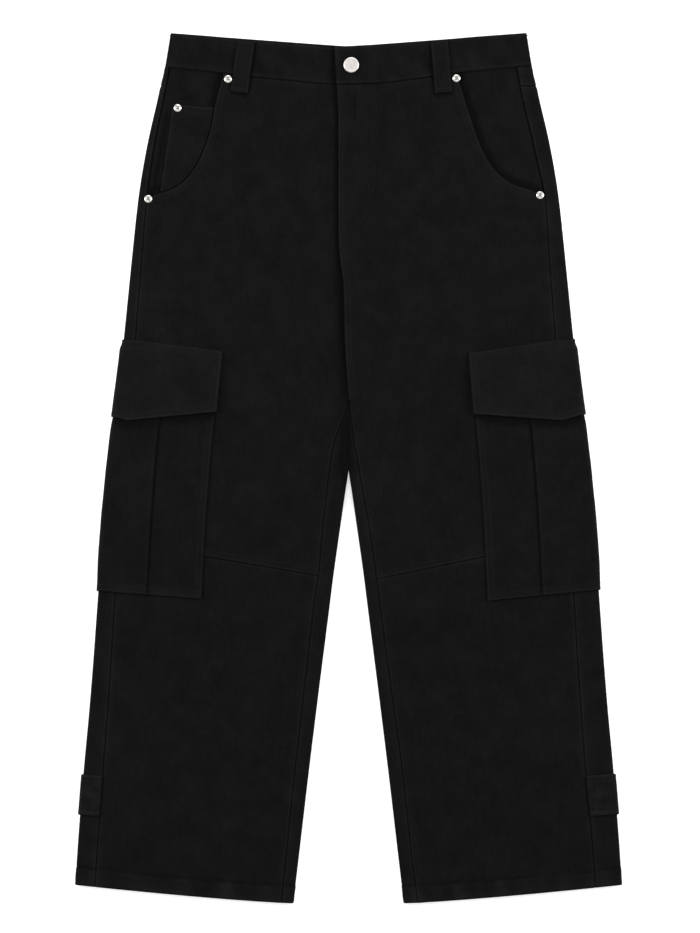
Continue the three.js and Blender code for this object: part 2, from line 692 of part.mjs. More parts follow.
// The waistband, from its end on the front round the side to the centre back
const BAND_LAP = { rise: 1.7, sink: 1.4, underEnd: 28, riseFlat: 22, sinkFlat: 20, fall: 30 };
const BAND_FRONT_COLUMNS = 15;
const BAND_FLOOR_COLUMNS = 5;
const BAND_ROWS = 4;

function bandShape(side, across) {
  const { rise, sink, riseFlat, sinkFlat, fall } = BAND_LAP;
  if (side === 'left') return rise * (1 - ramp(riseFlat, riseFlat + fall, across));
  return -sink * (1 - ramp(sinkFlat, sinkFlat + fall, across));
}

// Height of the band's outer face on the front
function bandTop(side, across, down) {
  return frontTop(side, across, down, BAND_WALL, BAND_AIR) + bandShape(side, across);
}

function waistband(side) {
  const places = [
    ...steps(BAND_FRONT_COLUMNS).slice(0, -1).map((at) => ({ zone: 'front', at })),
    ...ARC.map((at) => ({ zone: 'outer', at })),
    ...steps(BAND_FLOOR_COLUMNS).slice(1).map((at) => ({ zone: 'floor', at })),
  ];
  return makeWall(places, steps(BAND_ROWS), (place, v) => {
    const at = (down, out) => {
      if (place.zone === 'outer') {
        const round = mix(BAND_QUARTER, -BAND_QUARTER, place.at);
        return skin(side, 'outer', down, round, out, BAND_WALL, BAND_AIR);
      }
      if (place.zone === 'floor') {
        return { across: mix(outer(down) - BAND_RADIUS, SEAM / 2, place.at), height: -out };
      }
      const begin = side === 'left' ? read(CENTRE, 'down', 'lap', down) : -BAND_LAP.underEnd;
      const across = mix(begin, outer(down) - BAND_RADIUS, place.at);
      return { across, height: bandTop(side, across, down) + out };
    };
    const across = at(mix(0, waistSeam(side, 0), v), 0).across;
    const onFloor = place.zone === 'floor';
    const down = onFloor
      ? mix(backTop(side, across), backSeam(side, across), v)
      : mix(waistTop(side, across), waistSeam(side, across), v);
    return [0, -BAND_WALL].map((out) => {
      const point = at(down, out);
      return toPoint(side, point.across, down, point.height);
    });
  });
}

// Belt loops cross the band and are sewn down just below it
const LOOP_LINE = {
  right: { topAcross: 122.6, footAcross: 131.2 },
  left: { topAcross: 108.8, footAcross: 114 },
};
const LOOP_COLUMNS = 4;
const LOOP_ROWS = [0, 0.04, 0.12, 0.25, 0.4, 0.55, 0.66, 0.72, 0.78, 0.84, 0.9, 1];

function beltLoop(side) {
  const line = LOOP_LINE[side];
  return makeWall(steps(LOOP_COLUMNS), LOOP_ROWS, (u, v) => {
    const lean = (line.footAcross - line.topAcross) / LOOP.length;
    const middle = mix(line.topAcross, line.footAcross, v);
    const beside = (0.5 - u) * LOOP.width;
    const across = middle + beside;
    const down = waistTop(side, line.topAcross) + LOOP.topGap + v * LOOP.length - beside * lean;
    const seam = waistSeam(side, across);
    const onBand = bandTop(side, across, Math.min(down, seam));
    const onLeg = frontTop(side, across, down);
    const base = mix(onBand, onLeg, ramp(seam + LOOP.stepFrom, seam + LOOP.stepTo, down)) + SEAM;
    const bow = LOOP.rise * Math.sin(Math.PI * THREE.MathUtils.clamp(v / LOOP.bowEnd, 0, 1)) ** 2;
    const edge = LOOP.edgeDrop * (Math.abs(u - 0.5) * 2) ** 4;
    return [
      toPoint(side, across, down, base + bow + LOOP.wall - edge),
      toPoint(side, across, down, base + bow),
    ];
  });
}

// A patch wrapped round the leg's outer edge, over the side seam.
// A column lies at a share of the way between two places round the leg, which are found from the side seam.
// beyond is the distance past the side seam, towards the front, and along the distance down the patch.
function wrapped(side, { columns, rows, top, tilt, alongAt, outAt }) {
  return makeWall(columns, rows, (column, v) => {
    let down = top;
    let round = 0;
    let along = 0;
    for (let pass = 0; pass < 4; pass += 1) {
      const seam = seamRound(side, down);
      round = mix(column.from(seam), column.to(seam), column.at);
      along = alongAt(round - seam, v);
      down = top + along + tilt * (round - seam);
    }
    const beyond = round - seamRound(side, down);
    const onFront = ramp(-QUARTER, QUARTER, round);
    return outAt(beyond, along, onFront, v).map((out) => {
      const { across, height } = skin(side, 'outer', down, round, out);
      return toPoint(side, across, down, height);
    });
  });
}

const atQuarter = () => QUARTER;
const atUnder = () => -QUARTER;
const fromSeam = (distance) => (seam) => seam + distance;
const columnsOver = (from, to, places) => places.map((at) => ({ from, to, at }));

const POCKET_ROWS = [0, 0.1, 0.17, 0.2, 0.23, 0.26, 0.29, 0.32, 0.36, 0.42, 0.52, 0.64, 0.76, 0.88, 0.95, 1];

function cargoPocket(side) {
  const pleatIn = fromSeam(POCKET.pleat);
  const pleatOut = fromSeam(POCKET.pleat + POCKET.pleatStep);
  const underPleatIn = fromSeam(-POCKET.pleat);
  const underPleatOut = fromSeam(-POCKET.pleat - POCKET.pleatStep);
  const columns = [
    ...columnsOver(fromSeam(POCKET.half), pleatOut, [0, 0.06, 0.3, 0.55, 0.8]),
    ...columnsOver(pleatOut, pleatIn, [0, 1]),
    ...columnsOver(pleatIn, atQuarter, [0.3, 0.65]),
    ...columnsOver(atQuarter, atUnder, ARC),
    ...columnsOver(underPleatIn, underPleatOut, [0, 1]),
    ...columnsOver(underPleatOut, fromSeam(-POCKET.half), [0.5, 1]),
  ];
  return wrapped(side, {
    columns,
    rows: POCKET_ROWS,
    top: FLAP.top,
    tilt: POCKET_TILT[side],
    alongAt: (beyond, v) => mix(POCKET.start, POCKET.end, v),
    outAt: (beyond, along, onFront) => {
      const reach = Math.abs(beyond);
      const flapEnd = FLAP.length - FLAP.endSlope * reach;
      const opens = flapEnd + mix(POCKET.opensUnder, POCKET.opensFront, onFront);
      const closes = POCKET.footShare * ramp(POCKET.end - POCKET.footRun, POCKET.end, along);
      const open = ramp(opens, opens + POCKET.openRun, along) * (1 - closes);
      const inPleat = 1 - ramp(POCKET.pleat, POCKET.pleat + POCKET.pleatStep, reach);
      const puff = POCKET.puff * Math.sin(Math.PI * THREE.MathUtils.clamp(reach / POCKET.half, 0, 1)) ** 2;
      return [PLY + WALL + open * (POCKET.pleatHeight * inPleat + puff * onFront), PLY];
    },
  });
}

const FLAP_ROWS = [0, 0.05, 0.09, 0.15, 0.25, 0.4, 0.55, 0.7, 0.82, 0.92, 1];

function cargoFlap(side) {
  const columns = [
    ...columnsOver(fromSeam(FLAP.half), atQuarter, [0, 0.04, 0.2, 0.36, 0.52, 0.68, 0.84]),
    ...columnsOver(atQuarter, atUnder, ARC),
    ...columnsOver(atUnder, fromSeam(-FLAP.half), [0.33, 0.67, 1]),
  ];
  return wrapped(side, {
    columns,
    rows: FLAP_ROWS,
    top: FLAP.top,
    tilt: POCKET_TILT[side],
    alongAt: (beyond, v) => {
      const reach = Math.abs(beyond);
      return mix(FLAP.topSlope * reach, FLAP.length - FLAP.endSlope * reach, v);
    },
    outAt: (beyond, along, onFront, v) => {
      const overBag = (PLY + WALL) * ramp(FLAP.stepFrom, POCKET.start - SEAM, along);
      const base = overBag + PLY + FLAP.flare * onFront * v * v;
      return [base + mix(FLAP.underWall, FLAP.wall, onFront), base];
    },
  });
}

const TAB_ROWS = [0, 0.06, 0.3, 0.5, 0.7, 0.94, 1];

function hemTab(side) {
  const columns = [
    ...columnsOver(fromSeam(-TAB.seamGap), atQuarter, [0, 0.5]),
    ...columnsOver(atQuarter, atUnder, ARC),
    ...columnsOver(atUnder, fromSeam(-TAB.reach), [0.3, 0.65, 1]),
  ];
  return wrapped(side, {
    columns,
    rows: TAB_ROWS,
    top: TAB.top,
    tilt: TAB.tilt,
    alongAt: (beyond, v) => v * TAB.length,
    outAt: () => [PLY + TAB.wall, PLY],
  });
}

// Button and rivets stand on the face below them
function faceHeight(side, across, down, out) {
  return frontTop(side, across, down) + centreShape(side, across, down) + out;
}

function addHardware(name, x, down, base, geometry) {
  geometry.rotateX(Math.PI / 2);
  geometry.translate(x, MIDDLE - down, base);
  addPiece(name, geometry, metal);
}

// Both are turned from a profile of radius and height, which starts and ends at the middle
function buttonShape() {
  const { radius, height } = BUTTON;
  const profile = [
    [0, 0],
    [radius - 1.2, 0],
    [radius, 0.9],
    [radius, height - 1],
    [radius - 0.7, height - 0.2],
    [radius - 1.6, height],
    [radius - 2.6, height - 0.5],
    [0, height - 0.4],
  ];
  return new THREE.LatheGeometry(profile.map(([r, h]) => new THREE.Vector2(r, h)), BUTTON.segments);
}

function rivetShape() {
  const { radius, height } = RIVET;
  const profile = [
    [0, 0],
    [radius, 0],
    [radius, 0.5],
    [radius - 0.8, height - 0.3],
    [radius - 1.9, height],
    [radius - 2.7, height - 0.6],
    [radius - 3.2, height - 0.5],
    [0, height - 0.1],
  ];
  return new THREE.LatheGeometry(profile.map(([r, h]) => new THREE.Vector2(r, h)), RIVET.segments);
}

const RIVETS = [
  { side: 'right', across: 144.7, down: 55.9, out: 0.2 },
  { side: 'left', across: 129.4, down: 55, out: 0.2 },
  { side: 'right', across: 205.1, down: 90.6, out: COIN_OUT },
  { side: 'right', across: 240.4, down: 199.7, out: 0 },
  { side: 'left', across: 229.8, down: 195.2, out: 0 },
];

for (const side of ['right', 'left']) {
  addPiece(`waistband_${side}`, waistband(side));
  addPiece(`belt_loop_${side}`, beltLoop(side));
  addPiece(`front_upper_${side}`, frontUpper(side));
  addPiece(`front_lower_${side}`, frontLower(side));
  addPiece(`pocket_facing_${side}`, pocketFacing(side));
  addPiece(`back_yoke_${side}`, backYoke(side));
  addPiece(`back_${side}`, backLeg(side));
  addPiece(`cargo_pocket_${side}`, cargoPocket(side));
  addPiece(`cargo_flap_${side}`, cargoFlap(side));
  addPiece(`hem_tab_${side}`, hemTab(side));
}
addPiece('coin_pocket', coinPocket());

const buttonBase = bandTop('left', BUTTON.across, BUTTON.down) + SEAM;
addHardware('button', BUTTON.across, BUTTON.down, buttonBase, buttonShape());
RIVETS.forEach(({ side, across, down, out }, i) => {
  const base = faceHeight(side, across, down, out) + SEAM;
  addHardware(`rivet_${i + 1}`, signOf(side) * across, down, base, rivetShape());
});

export default pants;
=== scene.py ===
import math

import bpy
import numpy as np
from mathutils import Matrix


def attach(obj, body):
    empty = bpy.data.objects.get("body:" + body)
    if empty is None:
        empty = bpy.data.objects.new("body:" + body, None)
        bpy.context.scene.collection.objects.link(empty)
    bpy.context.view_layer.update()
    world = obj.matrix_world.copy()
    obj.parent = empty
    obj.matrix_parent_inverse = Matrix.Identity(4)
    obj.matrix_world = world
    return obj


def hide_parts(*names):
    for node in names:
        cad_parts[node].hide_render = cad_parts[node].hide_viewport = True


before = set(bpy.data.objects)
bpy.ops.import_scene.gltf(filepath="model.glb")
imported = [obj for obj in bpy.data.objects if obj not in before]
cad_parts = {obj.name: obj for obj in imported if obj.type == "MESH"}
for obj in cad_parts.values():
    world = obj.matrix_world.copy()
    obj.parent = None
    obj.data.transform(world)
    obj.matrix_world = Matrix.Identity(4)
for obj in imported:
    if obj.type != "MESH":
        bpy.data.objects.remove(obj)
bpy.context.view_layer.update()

# The back legs: one large panel of black cotton twill for each leg, from the yoke to the hem.
# Each lies on the floor, comes round the leg's folded outer edge to the side seam on the front,
# and below the crotch round the inner edge to the inseam. The hem is turned up inside and sewn.
MM = 0.001
MIDDLE = 522.87  # half-way height, measured down from the waist's corners as all heights are
WALL = 1.2  # twill and its nap
SEAM = 0.14  # between pieces that are sewn together
YOKE_SIDE = 64  # heights of the yoke's lower seam, at the side seam and at the centre back
YOKE_CENTRE = 115
CROTCH = 439.3
HEM_SIDE = 1023.1  # heights of the hem's edge, at the side seam and at the inseam
HEM_INNER = 1045.3
HEM_RISE = 22.2
HEM_FROM = 66  # from here outward the hem's edge rises
HEM_WIDTH = 263
HEM_BOW = 1.25
HEM_DEPTH = 21.6  # of the turned-up cloth
HEM_STITCH_SIDE = 1002  # heights at which the hem's stitches meet the side seam and the inseam
HEM_STITCH_INNER = 1022
AIR_EDGE = 2.2  # inside the flat leg
AIR_MIDDLE = 3.0
LEG_WALL = 1.5  # the solid's wall, which sets how high the faces lie
RADIUS = LEG_WALL + AIR_EDGE / 2
QUARTER = math.pi / 2 * RADIUS
LOFT_RUN = 45
UNDER_POCKET = 3.3  # the leg's lift over its pocket and flap
UNDER_TAB = 2.6
POCKET_LIFT = (340, 690, 60)  # the heights between which it is lifted, and the run over which it settles
TAB_LIFT = (872, 960, 50)
TAB_LIFT_INSIDE = 24  # the leg is fully lifted from this far inside the tab's end
TAB_REACH = 72
SIGN = {"right": -1, "left": 1}

# For each height down: the outer edge, the inner edge,
# and how far in from them lie the side seam (right, left) and the inseam (right, left)
OUTLINE = np.array([
    (0, 213.6, 0.4, 5, 18.5, 3.4, 3.4),
    (47, 221.5, 0.4, 5.5, 18.6, 3.4, 3.4),
    (81, 229.4, 0.4, 6.8, 20, 3.4, 3.4),
    (139, 242.6, 0.4, 8.6, 19.6, 3.4, 3.4),
    (196, 252.1, 0.4, 10.2, 16.6, 3.4, 3.4),
    (268, 260, 0.4, 12, 19.5, 3.4, 3.4),
    (362, 269.3, 0.4, 14.2, 21.8, 3.4, 3.4),
    (439.3, 278.2, 0.02, 16, 24.4, 0.9, 0.9),
    (493, 284.6, -0.03, 17, 26, 17.2, 7),
    (525, 288.3, -0.03, 17.9, 26.9, 22.9, 12.5),
    (530, 288.8, 0.6, 18, 27, 23, 12.7),
    (549, 290.7, 3.5, 18.4, 27.6, 22.5, 13.4),
    (585, 294.2, 8.7, 19.2, 28.6, 21.6, 14.8),
    (657, 299.4, 18.8, 20.5, 30.3, 18.2, 15.2),
    (686, 301.5, 22.4, 21, 31, 19, 15),
    (801, 310.4, 37, 22.3, 32.5, 17.6, 16),
    (887, 318.1, 47.6, 23.5, 34, 17, 17),
    (988, 326, 59.5, 24.2, 32.4, 15.4, 16.3),
    (1045.3, 329.6, 66.3, 23.3, 31.8, 14.8, 16.7),
])

# Main creases of the front: from (x, down) to (x, down), half width, height
CREASES = [
    (-30, 400, -150, 300, 16, 0.5),
    (-22, 440, -120, 400, 12, -0.4),
    (26, 395, 135, 290, 16, 0.5),
    (20, 445, 110, 415, 12, -0.4),
    (-60, 500, -110, 640, 22, 0.45),
    (60, 520, 120, 650, 20, 0.5),
    (-120, 700, -150, 930, 26, 0.55),
    (-215, 740, -240, 960, 20, -0.45),
    (130, 720, 145, 940, 24, 0.5),
    (225, 760, 250, 950, 20, -0.4),
    (-90, 110, -70, 230, 22, 0.4),
    (80, 120, 95, 240, 22, 0.35),
    (-14, 418, -96, 352, 7, 0.45),
    (-16, 452, -84, 470, 8, 0.4),
    (12, 410, 92, 350, 7, 0.4),
    (14, 455, 90, 478, 8, 0.45),
    (7, 70, 7, 112, 2.5, -0.5),
    (40, 75, 48, 190, 6, -0.35),
    (-42, 90, -58, 250, 12, 0.3),
    (-150, 560, -62, 630, 12, -0.35),
    (140, 590, 70, 640, 11, -0.35),
    (-104, 700, -80, 800, 9, 0.3),
    (100, 690, 84, 790, 9, 0.3),
    (-265, 720, -262, 880, 9, 0.35),
    (270, 720, 268, 880, 9, 0.35),
    (-180, 980, -120, 900, 14, -0.3),
    (175, 985, 130, 890, 14, -0.3),
]

# Hollows of the back, where it stands off the floor
BACK_CREASES = [
    (-40, 170, -170, 260, 18, 0.7),
    (40, 180, 165, 270, 18, 0.7),
    (-10, 420, -120, 340, 14, 0.8),
    (12, 425, 125, 345, 14, 0.8),
    (-60, 500, -120, 620, 20, 0.7),
    (65, 510, 120, 630, 20, 0.7),
    (-120, 700, -150, 930, 24, 0.8),
    (130, 710, 150, 940, 24, 0.8),
    (-240, 760, -235, 990, 15, 0.5),
    (238, 760, 245, 990, 15, 0.5),
]


def ramp(start, end, x):
    """0 before start, 1 after end, smooth between."""
    t = np.clip((x - start) / (end - start), 0, 1)
    return t * t * (3 - 2 * t)


def mix(a, b, t):
    return a + (b - a) * t


def bell(distance, width):
    """1 at distance 0, falling smoothly towards 0 on both sides."""
    return np.exp(-((distance / width) ** 2))


def read(table, column, place):
    """Reads a table's column at places between its rows, without overshoot."""
    keys = table[:, 0]
    values = table[:, column]
    runs = np.diff(keys)
    slopes = np.diff(values) / runs
    same = slopes[:-1] * slopes[1:] > 0
    middle = np.where(same, 2 * slopes[:-1] * slopes[1:] / np.where(same, slopes[:-1] + slopes[1:], 1), 0)
    tangents = np.concatenate([slopes[:1], middle, slopes[-1:]])
    at = np.clip(place, keys[0], keys[-1])
    i = np.clip(np.searchsorted(keys, at) - 1, 0, len(runs) - 1)
    t = (at - keys[i]) / runs[i]
    rest = 1 - t
    near = (1 + 2 * t) * rest**2 * values[i] + t * rest**2 * runs[i] * tangents[i]
    far = t**2 * (3 - 2 * t) * values[i + 1] - t**2 * rest * runs[i] * tangents[i + 1]
    return near + far


def outer(down):
    return read(OUTLINE, 1, down)


def inner(down):
    return read(OUTLINE, 2, down)


def side_in(side, down):
    return read(OUTLINE, 3 if side == "right" else 4, down)


def side_line(side, down):
    return outer(down) - side_in(side, down)


def inseam_line(side, down):
    return inner(down) + read(OUTLINE, 5 if side == "right" else 6, down)


def hem(across):
    """Height of the hem's edge."""
    return HEM_INNER - HEM_RISE * np.maximum(0, (across - HEM_FROM) / HEM_WIDTH) ** HEM_BOW


def plateau(start, end, run, down):
    """1 between start and end, falling to 0 over run on both sides."""
    return ramp(start - run, start, down) * (1 - ramp(end, end + run, down))


def lift(side, across, down):
    """How far the leg stands off the floor, over the pocket and the hem tab under it."""
    under_tab = side_line(side, down) + 2 * side_in(side, down) - TAB_REACH - TAB_LIFT_INSIDE
    tab = plateau(*TAB_LIFT, down) * ramp(under_tab - TAB_LIFT[2], under_tab, across)
    return plateau(*POCKET_LIFT, down) * UNDER_POCKET + tab * UNDER_TAB


def ripple(x, y, size, seed):
    """Soft uneven waves of about that size, from -1 to 1."""
    chance = np.random.default_rng(seed)
    total = 0
    for _ in range(7):
        heading = chance.uniform(0, 2 * math.pi)
        length = size * chance.uniform(0.7, 1.7)
        phase = chance.uniform(0, 2 * math.pi)
        along = x * math.cos(heading) + y * math.sin(heading)
        total = total + np.sin(along * 2 * math.pi / length + phase)
    return total / 4


def crease_sum(creases, x, down):
    total = 0
    for number, (x1, down1, x2, down2, width, height) in enumerate(creases):
        length = math.hypot(x2 - x1, down2 - down1)
        along = ((x - x1) * (x2 - x1) + (down - down1) * (down2 - down1)) / length
        beside = ((x - x1) * (down2 - down1) - (down - down1) * (x2 - x1)) / length
        sway = 0.25 * width * np.sin(along / length * 7 + number)
        uneven = 1 + 0.3 * np.sin(along / length * 11 + 2 * number)
        taper = np.sin(math.pi * np.clip(along / length, 0, 1)) ** 2
        total = total + height * uneven * taper * bell(beside + sway, width)
    return total


def edge_distance(across, down):
    below = across - inner(down)
    above = np.maximum(0, across) + (CROTCH - down) * 0.8 + RADIUS
    return np.minimum(outer(down) - across, np.where(down > CROTCH, below, above))


def front_height(side, across, down, wall=LEG_WALL, air_edge=AIR_EDGE, air_middle=AIR_MIDDLE):
    """Height of the front's outer face."""
    x = SIGN[side] * across
    radius = wall + air_edge / 2
    distance = edge_distance(across, down)
    inside = ramp(radius, LOFT_RUN, distance)
    shape = crease_sum(CREASES, x, down) + 0.16 * ripple(x, down, 42, 3)
    fine = 0.09 * ripple(x, down, 15, 4) * ramp(radius, 16, distance)
    return lift(side, across, down) + 2 * wall + mix(air_edge, air_middle, inside) + shape * inside + fine


def floor_height(side, across, down):
    """Height of the back's outer face over the floor."""
    x = SIGN[side] * across
    inside = ramp(RADIUS, LOFT_RUN, edge_distance(across, down))
    return lift(side, across, down) + crease_sum(BACK_CREASES, x, down) * inside


def on_leg(side, edge, down, turn, out):
    """Across and height of a point on the leg.

    turn is how far round the leg it lies from the folded edge: above 0 on the front, below 0 on the back.
    """
    fold = outer(down) if edge == "outer" else inner(down)
    inward = -1 if edge == "outer" else 1
    angle = np.clip(turn / RADIUS, -math.pi / 2, math.pi / 2)
    beyond = np.maximum(np.abs(turn) - QUARTER, 0)
    across = fold + inward * (RADIUS - (RADIUS + out) * np.cos(angle) + beyond)
    bend = lift(side, fold, down) + RADIUS + (RADIUS + out) * np.sin(angle)
    front = front_height(side, across, down) + out
    back = floor_height(side, across, down) - out
    return across, np.where(turn > QUARTER, front, np.where(turn < -QUARTER, back, bend))


def place(side, across, down, height):
    return np.stack(np.broadcast_arrays(SIGN[side] * across, MIDDLE - down, height), -1)


def spread(length, step=3.2, near=(0, 0.5, 1.1, 1.8, 2.6, 3.6, 5, 7, 9.5)):
    """Places from 0 to 1 along that length, closer together near both ends."""
    ends = np.array(near) / length
    inside = np.linspace(ends[-1], 1 - ends[-1], max(2, round((length - 2 * near[-1]) / step)) + 1)
    return np.concatenate([ends[:-1], inside, 1 - ends[:-1][::-1]])


def beside_seam(distance, ridge=0.3, run=7.5, roll=0.32):
    """Height beside a sewn edge: the cloth turns down at it, and swells over the allowance inside."""
    swell = ridge * ramp(0.4, 2.2, distance) * (1 - ramp(run, run + 3, distance))
    return swell - roll * bell(distance, 0.9)


def seam_wear_and_shade(distance, run=6):
    """Worn lighter in a thin line beside a seam, fainter over its allowance, with painted shade dark in the
    seam itself.
    """
    line = 0.55 * bell(distance - 1.7, 0.9)
    swell = 0.14 * ramp(0.8, 2.4, distance) * (1 - ramp(run, run + 4, distance))
    return line + swell - 0.75 * bell(distance, 0.8)


def lengths_along(points):
    """How far each point lies from the start of its row, and from the end of it."""
    steps = np.linalg.norm(np.diff(points, axis=1), axis=2)
    reach = np.concatenate([np.zeros((len(points), 1)), np.cumsum(steps, axis=1)], axis=1)
    return reach, reach[:, -1:] - reach


def closed_quads(rows, columns):
    """Faces of two layers of points and the rim between them."""
    a = np.arange(rows * columns).reshape(rows, columns)
    b = a + rows * columns
    strips = [
        (a[:-1, :-1], a[1:, :-1], a[1:, 1:], a[:-1, 1:]),
        (b[:-1, :-1], b[:-1, 1:], b[1:, 1:], b[1:, :-1]),
        (a[:-1, 0], b[:-1, 0], b[1:, 0], a[1:, 0]),
        (a[:-1, -1], a[1:, -1], b[1:, -1], b[:-1, -1]),
        (a[0, :-1], a[0, 1:], b[0, 1:], b[0, :-1]),
        (a[-1, :-1], b[-1, :-1], b[-1, 1:], a[-1, 1:]),
    ]
    return np.concatenate([np.stack(strip, -1).reshape(-1, 4) for strip in strips])


def new_object(name, points, faces, material):
    mesh = bpy.data.meshes.new(name)
    mesh.from_pydata((points * MM).tolist(), [], faces)
    mesh.materials.append(material)
    mesh.shade_smooth()
    made = bpy.data.objects.new(name, mesh)
    bpy.context.scene.collection.objects.link(made)
    return made


def cloth(node, face, lining, flat, wear_and_shade):
    """A closed thin shell of twill in the place of a solid, with what it was cut to.

    face and lining are its two sides. flat is where each point lies in the cut; the last gives how worn each
    point is, with painted shade and painted highlights added in.
    """
    points = np.concatenate([face.reshape(-1, 3), lining.reshape(-1, 3)])
    quads = closed_quads(*face.shape[:2])
    a, b, c, d = (points[quads[:, i]] for i in range(4))
    volume = np.sum(a * (np.cross(b, c) + np.cross(c, d)))
    if volume < 0:
        quads = quads[:, ::-1]
    piece = new_object(f"twill_{node}", points, quads.tolist(), LEG_TWILL)
    mesh = piece.data
    # A point attribute of wear with painted shade and painted highlights added in, for the twill to read.
    layer = mesh.attributes.new("wear_and_shade", "FLOAT", "POINT")
    layer.data.foreach_set("value", np.tile(wear_and_shade.reshape(-1), 2).astype(np.float32))
    corner = np.empty(len(mesh.loops), dtype=np.int32)
    mesh.loops.foreach_get("vertex_index", corner)
    cut = np.tile(flat.reshape(-1, 2), (2, 1)) * MM
    mesh.uv_layers.new(name="cut").data.foreach_set("uv", cut[corner].reshape(-1).astype(np.float32))

    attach(piece, "root")
    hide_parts(node)


def new_material(name):
    material = bpy.data.materials.new(name)
    material.use_nodes = True
    return material, material.node_tree, material.node_tree.nodes["Principled BSDF"]


def connect(tree, node, inputs):
    """Sets a node's inputs, by name or number, to values or to what other nodes give."""
    for key, value in inputs.items():
        if isinstance(value, bpy.types.NodeSocket):
            tree.links.new(value, node.inputs[key])
        else:
            node.inputs[key].default_value = value


def add_node(tree, kind, gives, inputs, **settings):
    """Adds a shader node and returns the output that it gives."""
    node = tree.nodes.new(f"ShaderNode{kind}")
    for key, value in settings.items():
        setattr(node, key, value)
    connect(tree, node, inputs)
    return node.outputs[gives]


def shades(tree, factor, stops):
    """Colours from dark to light by a factor. stops are (place, colour) in that order."""
    node = tree.nodes.new("ShaderNodeValToRGB")
    elements = node.color_ramp.elements
    for element, (spot, colour) in ((elements[0], stops[0]), (elements[1], stops[-1])):
        element.position = spot
        element.color = (*colour, 1)
    for spot, colour in stops[1:-1]:
        elements.new(spot).color = (*colour, 1)
    tree.links.new(factor, node.inputs["Fac"])
    return node.outputs["Color"]


def twill(name):
    """Washed black twill: a diagonal weave, a short nap, faint mottling, lighter where it is worn, darker
    with painted shade and lighter with painted highlights from the same point attribute.
    """
    material, tree, shader = new_material(name)
    where = add_node(tree, "TexCoord", "Object", {})
    cut = add_node(tree, "UVMap", "UV", {}, uv_map="cut")
    # The point attribute read here holds wear together with painted shade and painted highlights.
    worn = add_node(tree, "Attribute", "Fac", {}, attribute_name="wear_and_shade")
    broad = add_node(tree, "TexNoise", "Fac", {"Scale": 38, "Detail": 5, "Roughness": 0.62, "Vector": where})
    grain = add_node(tree, "TexNoise", "Fac", {"Scale": 260, "Detail": 3, "Vector": where})
    stretched = add_node(tree, "VectorMath", "Vector", {0: cut, 1: (300, 42, 1)}, operation="MULTIPLY")
    slub = add_node(tree, "TexNoise", "Fac", {"Scale": 1, "Detail": 3, "Vector": stretched})
    weave_inputs = {"Scale": 480, "Distortion": 1.2, "Detail": 2, "Detail Scale": 2, "Vector": cut}
    weave = add_node(tree, "TexWave", "Fac", weave_inputs, wave_type="BANDS", bands_direction="DIAGONAL")
    threads = add_node(tree, "Math", 0, {0: weave, 1: grain}, operation="ADD")
    shade = -0.31
    for part, share in ((broad, 0.62), (grain, 0.3), (slub, 0.26), (worn, 0.55)):
        shade = add_node(tree, "Math", 0, {0: part, 1: share, 2: shade}, operation="MULTIPLY_ADD")
    woven = {"Strength": 0.5, "Distance": 0.00022, "Height": threads}
    connect(tree, shader, {
        "Base Color": shades(tree, shade, [(0, (0.0008,) * 3), (0.4, (0.004,) * 3), (1, (0.0105,) * 3)]),
        "Normal": add_node(tree, "Bump", "Normal", woven),
        "Roughness": 0.88,
        "Specular IOR Level": 0.06,
        "Sheen Weight": 0.02,
        "Sheen Roughness": 0.5,
        "Sheen Tint": (1, 1, 1, 1),
    })
    return material


def thread(name):
    """Black sewing thread, a little glossier than the twill."""
    material, tree, shader = new_material(name)
    noise = add_node(tree, "TexNoise", "Fac", {"Scale": 700})
    colour = shades(tree, noise, [(0, (0.003,) * 3), (1, (0.0095,) * 3)])
    connect(tree, shader, {"Base Color": colour, "Roughness": 0.55, "Specular IOR Level": 0.1})
    return material


LEG_TWILL = twill("leg twill")
THREAD = thread("black thread")


def unit(vectors):
    return vectors / np.maximum(np.linalg.norm(vectors, axis=-1, keepdims=True), 1e-9)


def dense(path, step=1.0):
    """Points every step along a path of a few points, curving smoothly through them."""
    path = np.array(path, dtype=float)
    before = np.vstack([2 * path[:1] - path[1:2], path, 2 * path[-1:] - path[-2:-1]])
    curve = []
    for i in range(len(path) - 1):
        p0, p1, p2, p3 = before[i : i + 4]
        t = np.linspace(0, 1, 25)[:-1, None]
        square = (2 * p0 - 5 * p1 + 4 * p2 - p3) * t**2
        cube = (3 * p1 - p0 - 3 * p2 + p3) * t**3
        curve.append(0.5 * (2 * p1 + (p2 - p0) * t + square + cube))
    curve = np.vstack([*curve, path[-1:]])
    reach = np.concatenate([[0], np.cumsum(np.linalg.norm(np.diff(curve, axis=0), axis=1))])
    even = np.linspace(0, reach[-1], max(2, round(reach[-1] / step)) + 1)
    return np.stack([np.interp(even, reach, curve[:, i]) for i in range(path.shape[1])], -1)


